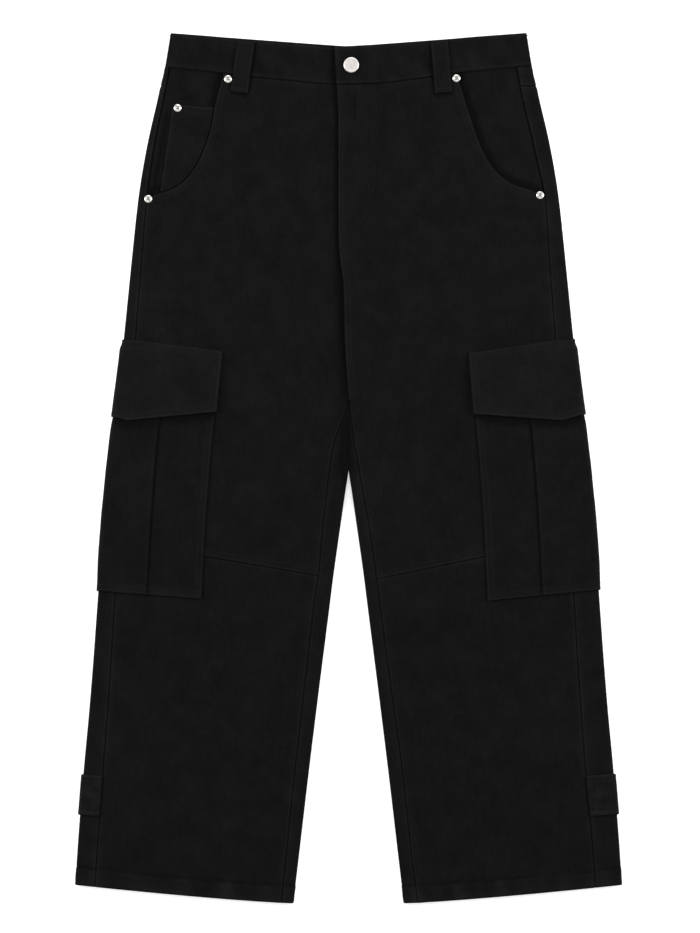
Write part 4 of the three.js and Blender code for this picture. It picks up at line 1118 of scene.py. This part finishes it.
def band_relief(side, across, down):
    """Relief and wear of the band between its edges, with painted shade at its lower seam and beside the
    belt loops.
    """
    x = SIGN[side] * across
    top = np.abs(down - waist_top(side, across))
    seam = np.abs(waist_seam(side, across) - down)
    height = -0.7 * bell(top, 1.3) - 0.55 * bell(seam, 1.0)
    for distance in (top, seam):
        height = height - 0.16 * bell(distance - 2.6, 0.9)
    height = height + 0.16 * ripple(x, down * 0.35, 13, 8) * ramp(0, 4, top) * ramp(0, 4, seam)
    wear_and_shade = 0.3 * (1 - ramp(2, 6, top)) + 0.25 * (1 - ramp(2, 7, seam)) - 0.8 * bell(seam, 0.9)
    wear_and_shade = wear_and_shade + 0.16 * ripple(x, down * 0.6, 16, 9) + loop_shade(side, across, down)
    return height, wear_and_shade


def band_face(side, across, down):
    relief, _wear_and_shade = band_relief(side, across, down)
    return band_top(side, across, down) + relief


for side in ("right", "left"):
    v = spread(44, 2.6, near=(0, 0.5, 1.1, 1.8, 2.6, 3.6, 5))
    front_at = spread(230, 2.6)[:-6]
    front_at = front_at / front_at[-1]
    columns = [("front", at) for at in front_at[:-1]]
    columns += [("outer", at) for at in np.linspace(0, 1, 9)]
    columns += [("floor", at) for at in np.linspace(0, 1, 62)[1:]]
    layers = []
    wear_and_shade_layers = []
    for out in (0.0, -BAND_WALL + 0.5):
        points = np.empty((len(v), len(columns), 3))
        wear_and_shade = np.zeros((len(v), len(columns)))
        for column, (part, at) in enumerate(columns):
            down = mix(0, float(waist_seam(side, 0)), v)
            for _ in range(3):
                if part == "front":
                    begin = read(CENTRE, 1, down) if side == "left" else np.full(len(v), BAND_UNDER)
                    across = mix(begin, outer(down) - BAND_RADIUS, at)
                elif part == "outer":
                    angle = mix(math.pi / 2, -math.pi / 2, at)
                    radius = BAND_RADIUS + out
                    across = outer(down) - BAND_RADIUS + radius * math.cos(angle)
                else:
                    across = mix(outer(down) - BAND_RADIUS, SEAM / 2, at)
                if part == "floor":
                    down = mix(at_back(waist_top, side, across), at_back(waist_seam, side, across), v)
                else:
                    down = mix(waist_top(side, across), waist_seam(side, across), v)
            # worn here carries the band's wear together with its painted shade.
            relief, worn = band_relief(side, across, down)
            if part == "front":
                from_end = np.abs(across - begin)
                height = band_top(side, across, down) + relief + out
                if side == "left":
                    height = height - 0.6 * bell(from_end, 1.0)
                    worn = worn + 0.3 * (1 - ramp(3, 9, from_end))
                else:
                    # Painted shadow on the right end, under and beside the left end that laps over it.
                    worn = worn - 1.1 * (1 - ramp(17, 24, across))
            elif part == "outer":
                height = BAND_RADIUS + radius * math.sin(angle) + 0 * across
            else:
                height = 0 * across - out - np.minimum(relief, 0)
            points[:, column] = place(side, across, down, height)
            wear_and_shade[:, column] = worn
        layers.append(points)
        wear_and_shade_layers.append(wear_and_shade)
    face, lining = layers
    from_end, _rest = lengths_along(face)
    flat = np.stack([from_end, MIDDLE - face[..., 1]], -1)
    cloth(f"waistband_{side}", face, lining, flat, wear_and_shade_layers[0])

    first = -10.0 if side == "left" else 17.0
    lines = []
    for edge, inset in ((waist_top, 2.6), (waist_seam, -2.6)):
        path = [(at, float(edge(side, at)) + inset) for at in np.linspace(first, 214, 12)]
        lines.append(on_front(side, path, band_face))
        back_across = np.linspace(216, 1, 200)
        back_down = at_back(edge, side, back_across) + inset
        back_line = place(side, back_across, back_down, 0.3)
        lines.append((back_line, np.tile((0.0, 0.0, -1.0), (200, 1))))
    if side == "left":
        lines.append(on_front(side, [(-12.2, 20.5), (-11.8, 40), (-11.2, 58)], band_face))
    sew(f"stitches_waistband_{side}", lines, seed=16)

# The belt loops: narrow folded strips of twill that stand off the band and are tacked at both ends.
# Each has a line of stitches along both edges. Two of them show on the front.
LOOP_WALL = 1.6


def loop_point(side, u, v, out):
    """A point on a loop: u from its outer edge to its inner one, v from top to foot."""
    top_across, foot_across = LOOP_LINE[side]
    lean = (foot_across - top_across) / LOOP_LENGTH
    beside = (0.5 - u) * LOOP_WIDTH
    across = mix(top_across, foot_across, v) + beside
    down = waist_top(side, top_across) + LOOP_GAP + v * LOOP_LENGTH - beside * lean
    seam = waist_seam(side, across)
    on_band = band_top(side, across, np.minimum(down, seam))
    on_leg_face = front_height(side, across, down)
    base = mix(on_band, on_leg_face, ramp(seam + 1.5, seam + 8, down)) + SEAM
    bow = 1.2 * np.sin(math.pi * np.clip(v / 0.8, 0, 1)) ** 2
    lifted = 0.8 * u * u * ramp(0, 0.12, v) * (1 - ramp(0.8, 0.95, v))
    return place(side, across, down, base + bow + lifted + out)


for side in ("right", "left"):
    u = spread(LOOP_WIDTH, 1.6, near=(0, 0.4, 0.9, 1.6, 2.4, 3.2))
    v = spread(LOOP_LENGTH, 1.8, near=(0, 0.4, 0.9, 1.6, 2.4, 3.4, 4.6, 6))
    across_way, down_way = np.meshgrid(u, v)
    from_edge = np.minimum(across_way, 1 - across_way) * LOOP_WIDTH
    from_top = down_way * LOOP_LENGTH
    from_foot = (1 - down_way) * LOOP_LENGTH
    relief = -0.6 * bell(from_edge, 0.9) - 0.2 * bell(from_edge - 3, 0.9)
    relief = relief - 0.4 * bell(from_foot, 1.0) - 0.35 * bell(from_foot - 4, 1.4)
    relief = relief - 0.35 * bell(from_top - 3.5, 1.4)
    relief = relief + 0.08 * np.sin(from_top * 0.9) * bell(from_edge - 3, 2)
    face = loop_point(side, across_way, down_way, LOOP_WALL + relief)
    lining = loop_point(side, across_way, down_way, 0 * relief)
    # Lighter worn edges, and painted shade in the grooves of the stitching 3 mm in.
    wear_and_shade = 0.3 * (1 - ramp(1, 5, from_edge)) - 0.35 * bell(from_edge - 3, 0.9) + 0.12
    wear_and_shade = wear_and_shade + 0.25 * (1 - ramp(1, 4, from_foot)) + 0.2 * (1 - ramp(1, 4, from_top))
    flat = np.stack([across_way * LOOP_WIDTH, down_way * LOOP_LENGTH], -1)
    cloth(f"belt_loop_{side}", face, lining, flat, wear_and_shade)

    up = np.tile((0.0, 0.0, 1.0), (60, 1))
    lines = []
    along_edge = np.linspace(0.03, 0.97, 60)
    for edge in (0.15, 0.85):
        lines.append((loop_point(side, edge, along_edge, LOOP_WALL - 0.2), up))
    over_loop = np.linspace(0.12, 0.88, 60)
    for level in (0.045, 0.06, 0.925, 0.94):
        lines.append((loop_point(side, over_loop, level, LOOP_WALL - 0.25), up))
    sew(f"stitches_belt_loop_{side}", lines, 2.2, seed=17)

# The cargo pockets: large patch bags of twill, sewn over the side seam at the thigh and folded to the back.
# A box pleat runs down the middle of each, so its centre strip stands proud, with sharp pressed edges.
# The front edge and the foot are double stitched.
POCKET_TILT = {"right": 0.077, "left": 0.102}
POCKET_TOP = 369  # height of the flap's top at the side seam
POCKET_HALF = 104
POCKET_START = 14  # down from the flap's top
POCKET_END = 303
POCKET_MIDDLE = 520  # height at which its folded edge is looked up
BAG_OUT = PLY + LEG_WALL
POCKET_ROWS = (2.4, 8.4)  # two rows of stitches, in from its edges
POCKET_SEWN = 90  # they start here, under the flap
PLEAT = 37  # half the centre strip
PLEAT_STEP = 1.4
FLAP_LENGTH = 96.5
FLAP_SLOPE = 0.175
FLAP_HEAD_SLOPE = 0.045


def wrapped_grid(side, beyond, along, tilt, top):
    """Places round the leg and heights down for a patch, from places beyond the side seam and along it."""
    down = top + along
    for _ in range(5):
        seam = QUARTER + side_in(side, down) - RADIUS
        turn = beyond + seam
        down = top + along + tilt * beyond
    return turn, down


def columns_round(side, down, places):
    """Columns of a patch at those places beyond the side seam, with closer ones round the folded edge."""
    folded = -(side_in(side, down) - RADIUS) - QUARTER + np.linspace(QUARTER + 3, -QUARTER - 3, 15)
    beyond = np.unique(np.round(np.concatenate([places, folded]), 2))[::-1]
    return beyond[np.concatenate([[True], np.abs(np.diff(beyond)) > 0.35])]


def flap_head(beyond):
    return FLAP_HEAD_SLOPE * np.abs(beyond)


def flap_foot(beyond):
    return FLAP_LENGTH - FLAP_SLOPE * np.abs(beyond)


def share_on_front(turn):
    return ramp(-QUARTER, QUARTER, turn)


def pocket_out(beyond, along, turn):
    """How far the bag's face stands off the leg."""
    front = share_on_front(turn)
    opens = flap_foot(beyond) + mix(2, -15, front)
    opened = ramp(opens, opens + 24, along) * (1 - 0.75 * ramp(POCKET_END - 40, POCKET_END, along))
    in_pleat = 1 - ramp(PLEAT, PLEAT + PLEAT_STEP, np.abs(beyond))
    puff = 0.7 * np.sin(math.pi * np.clip(np.abs(beyond) / POCKET_HALF, 0, 1)) ** 2
    return BAG_OUT + opened * (1.4 * in_pleat + puff * front)


def pocket_relief(beyond, along, turn):
    front = share_on_front(turn)
    edge = POCKET_HALF - np.abs(beyond)
    foot = POCKET_END - along
    pleat = PLEAT - np.abs(beyond)
    relief = beside_seam(edge, 0.25, 9, 0.5) + beside_seam(foot, 0.25, 9, 0.5)
    for row in POCKET_ROWS:
        relief = relief - 0.12 * bell(edge - row, 0.8)
    relief = relief + 0.2 * bell(pleat - 2, 2) - 0.5 * bell(pleat + 2.4, 1.2)
    sag = 0.22 * ripple(beyond, along, 36, 21) + 0.1 * ripple(beyond, along, 13, 22)
    relief = relief + sag * ramp(4, 18, edge) * ramp(4, 18, foot)
    wear_and_shade = seam_wear_and_shade(edge, 8) + seam_wear_and_shade(foot, 8)
    # A painted highlight on the centre strip's pressed edge and painted shadow beside it on the side strip.
    wear_and_shade = wear_and_shade + 0.25 * bell(pleat - 1.6, 1.6) - 1.3 * bell(pleat + 1.3, 1.0)
    return np.where(front > 0.9, relief, np.minimum(relief, 0) * 0.5), wear_and_shade


for side in ("right", "left"):
    fine = (0, 0.5, 1.2, 2, 3, 4.5, 6.5, 9, 12)
    outside = np.concatenate([POCKET_HALF - np.array(fine), np.linspace(88, 43, 15)])
    pleat = np.array((41, 39.6, 38.8, 38.1, 37.4, 36.7, 36, 35, 33.5, 31.5))
    half = np.concatenate([outside, pleat])
    middle = np.linspace(28, -28, 22)
    beyond = columns_round(side, POCKET_MIDDLE, np.concatenate([half, middle, -half]))
    along = POCKET_START + spread(POCKET_END - POCKET_START, 3.2) * (POCKET_END - POCKET_START)
    across_way, down_way = np.meshgrid(beyond, along)
    turn, down = wrapped_grid(side, across_way, down_way, POCKET_TILT[side], POCKET_TOP)
    relief, wear_and_shade = pocket_relief(across_way, down_way, turn)
    out = pocket_out(across_way, down_way, turn)
    face = leg_points(side, "outer", down, turn, out + relief)
    lining = leg_points(side, "outer", down, turn, np.minimum(out - 1.0, PLY + 0.3 + 0 * out))
    shadow = -0.9 * bell(down_way - flap_foot(across_way), 9)
    flat = np.stack([across_way, down_way], -1)
    cloth(f"cargo_pocket_{side}", face, lining, flat, wear_and_shade + shadow)

    def pocket_line(path, side=side):
        line = dense(path, 1.5)
        turn, down = wrapped_grid(side, line[:, 0], line[:, 1], POCKET_TILT[side], POCKET_TOP)
        relief, _wear_and_shade = pocket_relief(line[:, 0], line[:, 1], turn)
        return round_leg(side, "outer", down, turn, pocket_out(line[:, 0], line[:, 1], turn) + relief)

    lines = []
    reach = POCKET_HALF - POCKET_ROWS[0]
    foot = POCKET_END - POCKET_ROWS[0]
    for inset in POCKET_ROWS:
        for edge in (POCKET_HALF - inset, inset - POCKET_HALF):
            lines.append(pocket_line([(edge, POCKET_SEWN), (edge, foot)]))
        lines.append(pocket_line([(reach, POCKET_END - inset), (-reach, POCKET_END - inset)]))
    sew(f"stitches_cargo_pocket_{side}", lines, seed=18)

# The cargo flaps: two layers of twill over each pocket's opening, double stitched round their free edges.
# They are sewn down along the top and hang a little off the bag at the foot.
FLAP_HALF = 105.5
FLAP_MIDDLE = 410  # height at which its folded edge is looked up
FLAP_FLARE = 1.5
FLAP_ROWS = (2.6, 8.6)  # two rows of stitches, in from its edges


def flap_base(along, turn, v):
    """How far the flap's lining stands off the leg."""
    flare = FLAP_FLARE * share_on_front(turn) * v * v
    return BAG_OUT * ramp(5, POCKET_START - 0.5, along) + PLY + flare


def flap_wall(turn):
    return mix(1.0, 1.8, share_on_front(turn))


def flap_relief(beyond, along, turn):
    front = share_on_front(turn)
    side_edge = FLAP_HALF - np.abs(beyond)
    foot = flap_foot(beyond) - along
    head = along - flap_head(beyond)
    edge = np.minimum(np.minimum(side_edge, foot), head)
    relief = -0.5 * bell(edge, 1.0) - 0.16 * bell(edge - FLAP_ROWS[0], 0.9)
    relief = relief + 0.14 * bell(edge - 5.4, 2) - 0.16 * bell(edge - FLAP_ROWS[1], 0.9)
    relief = relief + 0.2 * ripple(beyond, along, 30, 31) * ramp(6, 20, edge)
    wear_and_shade = 0.45 * bell(edge - 1.6, 1.2) + 0.12 * (1 - ramp(8, 12, edge))
    # Painted shade along the flap's sewn head.
    wear_and_shade = wear_and_shade - 0.4 * bell(head, 1.2)
    return np.where(front > 0.9, relief, np.minimum(relief, 0) * 0.5), wear_and_shade


for side in ("right", "left"):
    fine = (0, 0.5, 1.1, 1.9, 2.6, 3.4, 4.6, 6, 7.5, 8.6, 9.8, 12)
    half = np.concatenate([FLAP_HALF - np.array(fine), np.linspace(90, 0, 30)])
    beyond = columns_round(side, FLAP_MIDDLE, np.concatenate([half, -half]))
    across_way, v_way = np.meshgrid(beyond, spread(FLAP_LENGTH, 2.8, near=fine))
    along = mix(flap_head(across_way), flap_foot(across_way), v_way)
    turn, down = wrapped_grid(side, across_way, along, POCKET_TILT[side], POCKET_TOP)
    base = flap_base(along, turn, v_way)
    relief, wear_and_shade = flap_relief(across_way, along, turn)
    face = leg_points(side, "outer", down, turn, base + flap_wall(turn) + relief)
    lining = leg_points(side, "outer", down, turn, base)
    flat = np.stack([across_way, along], -1)
    cloth(f"cargo_flap_{side}", face, lining, flat, wear_and_shade + 0.15)

    def flap_line(path, side=side):
        beyond, along = dense(path, 1.5).T
        v = (along - flap_head(beyond)) / (flap_foot(beyond) - flap_head(beyond))
        turn, down = wrapped_grid(side, beyond, along, POCKET_TILT[side], POCKET_TOP)
        relief, _wear_and_shade = flap_relief(beyond, along, turn)
        return round_leg(side, "outer", down, turn, flap_base(along, turn, v) + flap_wall(turn) + relief)

    lines = []
    for inset in FLAP_ROWS:
        wide = FLAP_HALF - inset
        head = flap_head(wide) + inset
        lines.append(flap_line([(wide, head), (0, inset), (-wide, head)]))
        foot_places = (wide, wide / 2, 2, -2, -wide / 2, -wide)
        lines.append(flap_line([(at, flap_foot(at) - inset) for at in foot_places]))
        for edge in (wide, -wide):
            lines.append(flap_line([(edge, head), (edge, flap_foot(edge) - inset)]))
    sew(f"stitches_cargo_flap_{side}", lines, seed=19)

# The hem tabs: short bands of doubled twill near the hems, folded round the outer edge to the back.
# Each end is sewn down, with one row of stitches along its top and two along its foot.
TAB_TOP = 892
TAB_LENGTH = 48
TAB_WALL = 2.2
TAB_TILT = 0.06
TAB_MIDDLE = 915  # height at which its folded edge is looked up
TAB_HEAD_ROW = 3.6  # rows of stitches, down from its top and up from its foot
TAB_FOOT_ROWS = (7.2, 2.4)

for side in ("right", "left"):
    strip = side_in(side, TAB_MIDDLE) - RADIUS
    front_cols = np.linspace(-0.2, -strip, 12)
    bend_cols = -strip - np.linspace(0, 2 * QUARTER, 12)[1:]
    back_cols = np.linspace(-(strip + 2 * QUARTER), -TAB_REACH, 18)[1:]
    beyond = np.concatenate([front_cols, bend_cols, back_cols])
    v = spread(TAB_LENGTH, 2.4, near=(0, 0.5, 1.1, 1.9, 2.8, 3.8, 5.2, 7, 8.5))
    across_way, v_way = np.meshgrid(beyond, v)
    along = v_way * TAB_LENGTH
    turn, down = wrapped_grid(side, across_way, along, TAB_TILT, TAB_TOP)
    front = share_on_front(turn)
    head = along
    foot = TAB_LENGTH - along
    seam = -across_way
    relief = -0.5 * bell(np.minimum(head, foot), 1.0) - 0.25 * bell(head - TAB_HEAD_ROW, 1.0)
    relief = relief - 0.3 * bell(foot - TAB_FOOT_ROWS[0], 1.1) - 0.4 * bell(seam, 0.8)
    relief = relief + 0.14 * ripple(across_way, along, 16, 41) * ramp(0, 5, foot) * ramp(0, 5, head)
    relief = np.where(front > 0.6, relief, np.minimum(relief, 0) * 0.4)
    wear_and_shade = 0.35 * (1 - ramp(2, 6, head)) + 0.35 * (1 - ramp(3, 9, foot)) + 0.3
    wear_and_shade = wear_and_shade + 0.2 * ripple(across_way, along, 14, 42)
    # Painted shade in the grooves of the rows of stitching.
    wear_and_shade = wear_and_shade - 0.5 * bell(head - TAB_HEAD_ROW, 1.0)
    wear_and_shade = wear_and_shade - 0.5 * bell(foot - TAB_FOOT_ROWS[0], 1.1)
    face = leg_points(side, "outer", down, turn, PLY + TAB_WALL + relief)
    lining = leg_points(side, "outer", down, turn, PLY + 0 * relief)
    flat = np.stack([across_way, along], -1)
    cloth(f"hem_tab_{side}", face, lining, flat, wear_and_shade)

    lines = []
    for level in (TAB_HEAD_ROW, *(TAB_LENGTH - up for up in TAB_FOOT_ROWS)):
        reach = np.linspace(-1.5, -TAB_REACH + 2, 90)
        turn, down = wrapped_grid(side, reach, np.full(90, level), TAB_TILT, TAB_TOP)
        lines.append(round_leg(side, "outer", down, turn, PLY + TAB_WALL - 0.15))
    sew(f"stitches_hem_tab_{side}", lines, seed=20)

# The waist button: a stamped shank button in warm silver-coloured metal, with a raised rim and a plain face.
# Its shank is riveted through the left end of the band.


def steel(name, colour, rough):
    """Stamped metal with fine scratches and slightly uneven polish."""
    material, tree, shader = new_material(name)
    where = add_node(tree, "TexCoord", "Object", {})
    worn = add_node(tree, "TexNoise", "Fac", {"Scale": 620, "Detail": 2, "Vector": where})
    scratches = add_node(tree, "TexNoise", "Fac", {"Scale": 900, "Detail": 4, "Vector": where})
    polish = {"Value": scratches, "To Min": rough - 0.08, "To Max": rough + 0.12}
    scratched = {"Strength": 0.15, "Distance": 0.00005, "Height": scratches}
    darker = [part * 0.86 for part in colour]
    connect(tree, shader, {
        "Base Color": shades(tree, worn, [(0.36, darker), (0.6, colour)]),
        "Metallic": 1,
        "Roughness": add_node(tree, "MapRange", "Result", polish),
        "Normal": add_node(tree, "Bump", "Normal", scratched),
    })
    return material


def turned(name, profile, centre, material, around=64):
    """A turned piece from its profile of (radius, height), closed at the middle."""
    angles = np.arange(around) * 2 * math.pi / around
    rings = []
    for radius, height in profile[1:-1]:
        ring = (radius * np.cos(angles), radius * np.sin(angles), np.full(around, height))
        rings.append(np.stack(ring, -1))
    points = np.vstack([[(0, 0, profile[0][1])], *rings, [(0, 0, profile[-1][1])]]) + centre
    last = len(points) - 1
    faces = []
    for i in range(around):
        j = (i + 1) % around
        faces.append((0, 1 + j, 1 + i))
        for k in range(len(rings) - 1):
            a = 1 + k * around
            faces.append((a + i, a + j, a + around + j, a + around + i))
        top = 1 + (len(rings) - 1) * around
        faces.append((top + i, top + j, last))
    return new_object(name, points, faces, material)


BUTTON_METAL = steel("button metal", (0.80, 0.76, 0.735), 0.42)
BUTTON_ACROSS = 3.2
BUTTON_DOWN = 39.4
button_base = float(band_top("left", np.array(BUTTON_ACROSS), np.array(BUTTON_DOWN))) + SEAM
BUTTON_PROFILE = [
    (0, 0), (7.9, 0), (8.7, 0.25), (9.2, 0.8), (9.3, 1.5), (9.2, 2.2), (8.95, 2.65), (8.5, 2.92),
    (7.9, 3.02), (7.3, 3.02), (6.9, 2.94), (6.6, 2.86), (6.2, 2.83), (5.2, 2.86), (3.6, 2.93),
    (1.8, 2.98), (0, 3.0),
]
button_centre = (BUTTON_ACROSS, MIDDLE - BUTTON_DOWN, button_base)
button = turned("button_cap", BUTTON_PROFILE, button_centre, BUTTON_METAL)
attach(button, "root")
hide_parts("button")

# The rivets: small domed burrs of the same metal, at the corners of the pocket mouths and the coin pocket.
# Each is a raised ring with a darker nail head sunk in its middle.
RIVET_METAL = steel("rivet metal", (0.80, 0.78, 0.75), 0.26)
NAIL_METAL = steel("rivet nail", (0.30, 0.29, 0.28), 0.4)
RIVETS = [
    ("right", 144.7, 55.9, 0.2),
    ("left", 129.4, 55, 0.2),
    ("right", 205.1, 90.6, COIN_OUT),
    ("right", 240.4, 199.7, 0),
    ("left", 229.8, 195.2, 0),
]
RIVET_PROFILE = [
    (0, 0), (4.3, 0), (4.75, 0.2), (4.8, 0.6), (4.6, 1.1), (4.15, 1.5), (3.55, 1.75), (2.9, 1.8),
    (2.4, 1.65), (2.05, 1.3), (1.95, 1.0), (1.8, 0.9), (0, 0.9),
]
NAIL_PROFILE = [(0, 0.92), (1.5, 0.92), (1.55, 1.1), (1.35, 1.35), (0.9, 1.5), (0, 1.55)]
for number, (side, across, down, out) in enumerate(RIVETS, start=1):
    at = (np.array(across), np.array(down))
    base = float(front_height(side, *at) + centre_shape(side, *at)) + out + SEAM + 0.1
    centre = (SIGN[side] * across, MIDDLE - down, base)
    ring = turned(f"rivet_ring_{number}", RIVET_PROFILE, centre, RIVET_METAL, 40)
    nail = turned(f"rivet_nail_{number}", NAIL_PROFILE, centre, NAIL_METAL, 24)
    for made in (ring, nail):
        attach(made, "root")
    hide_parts(f"rivet_{number}")

# The floor: a sheet of white paper on a light table, which keeps its white under the garment's edges.
floor_mesh = bpy.data.meshes.new("floor")
floor_mesh.from_pydata([(-30, -30, 0), (30, -30, 0), (30, 30, 0), (-30, 30, 0)], [], [(0, 1, 2, 3)])
floor = bpy.data.objects.new("floor", floor_mesh)
floor.location.z = -0.0002
bpy.context.scene.collection.objects.link(floor)
paper, paper_tree, paper_shader = new_material("white paper")
connect(paper_tree, paper_shader, {
    "Base Color": (0.9, 0.9, 0.9, 1),
    "Roughness": 1,
    "Specular IOR Level": 0,
    "Emission Color": (1, 1, 1, 1),
    "Emission Strength": 0.45,
})
floor_mesh.materials.append(paper)

# The light: a white room, a large soft lamp low on each side of the garment, and one beyond its waist.
world = bpy.data.worlds.new("white room")
world.use_nodes = True
world.node_tree.nodes["Background"].inputs["Color"].default_value = (1, 1, 1, 1)
world.node_tree.nodes["Background"].inputs["Strength"].default_value = 0.75
bpy.context.scene.world = world
for name, spot, size, power in (
    ("left lamp", (-1.7, 0.35, 0.85), 0.9, 26),
    ("right lamp", (1.7, 0.35, 0.85), 0.9, 26),
    ("far lamp", (0.0, 2.0, 1.3), 1.0, 14),
):
    lamp_data = bpy.data.lights.new(name, "AREA")
    lamp_data.size = size
    lamp_data.energy = power
    lamp = bpy.data.objects.new(name, lamp_data)
    lamp.location = spot
    toward = -np.array(spot) / np.linalg.norm(spot)
    lamp.rotation_euler = (math.acos(-toward[2]), 0, math.atan2(toward[1], toward[0]) - math.pi / 2)
    bpy.context.scene.collection.objects.link(lamp)

# The camera: straight above, five metres up, with the whole garment upright in the frame.
camera_data = bpy.data.cameras.new("above")
camera_data.sensor_fit = "VERTICAL"
camera_data.sensor_height = 36
camera_data.lens = 160.8
camera = bpy.data.objects.new("above", camera_data)
camera.location = (0.0017, 0.0020, 5.007)
camera.rotation_euler = (0, 0, 0)
bpy.context.scene.collection.objects.link(camera)
bpy.context.scene.camera = camera
bpy.context.scene.view_settings.view_transform = "Standard"
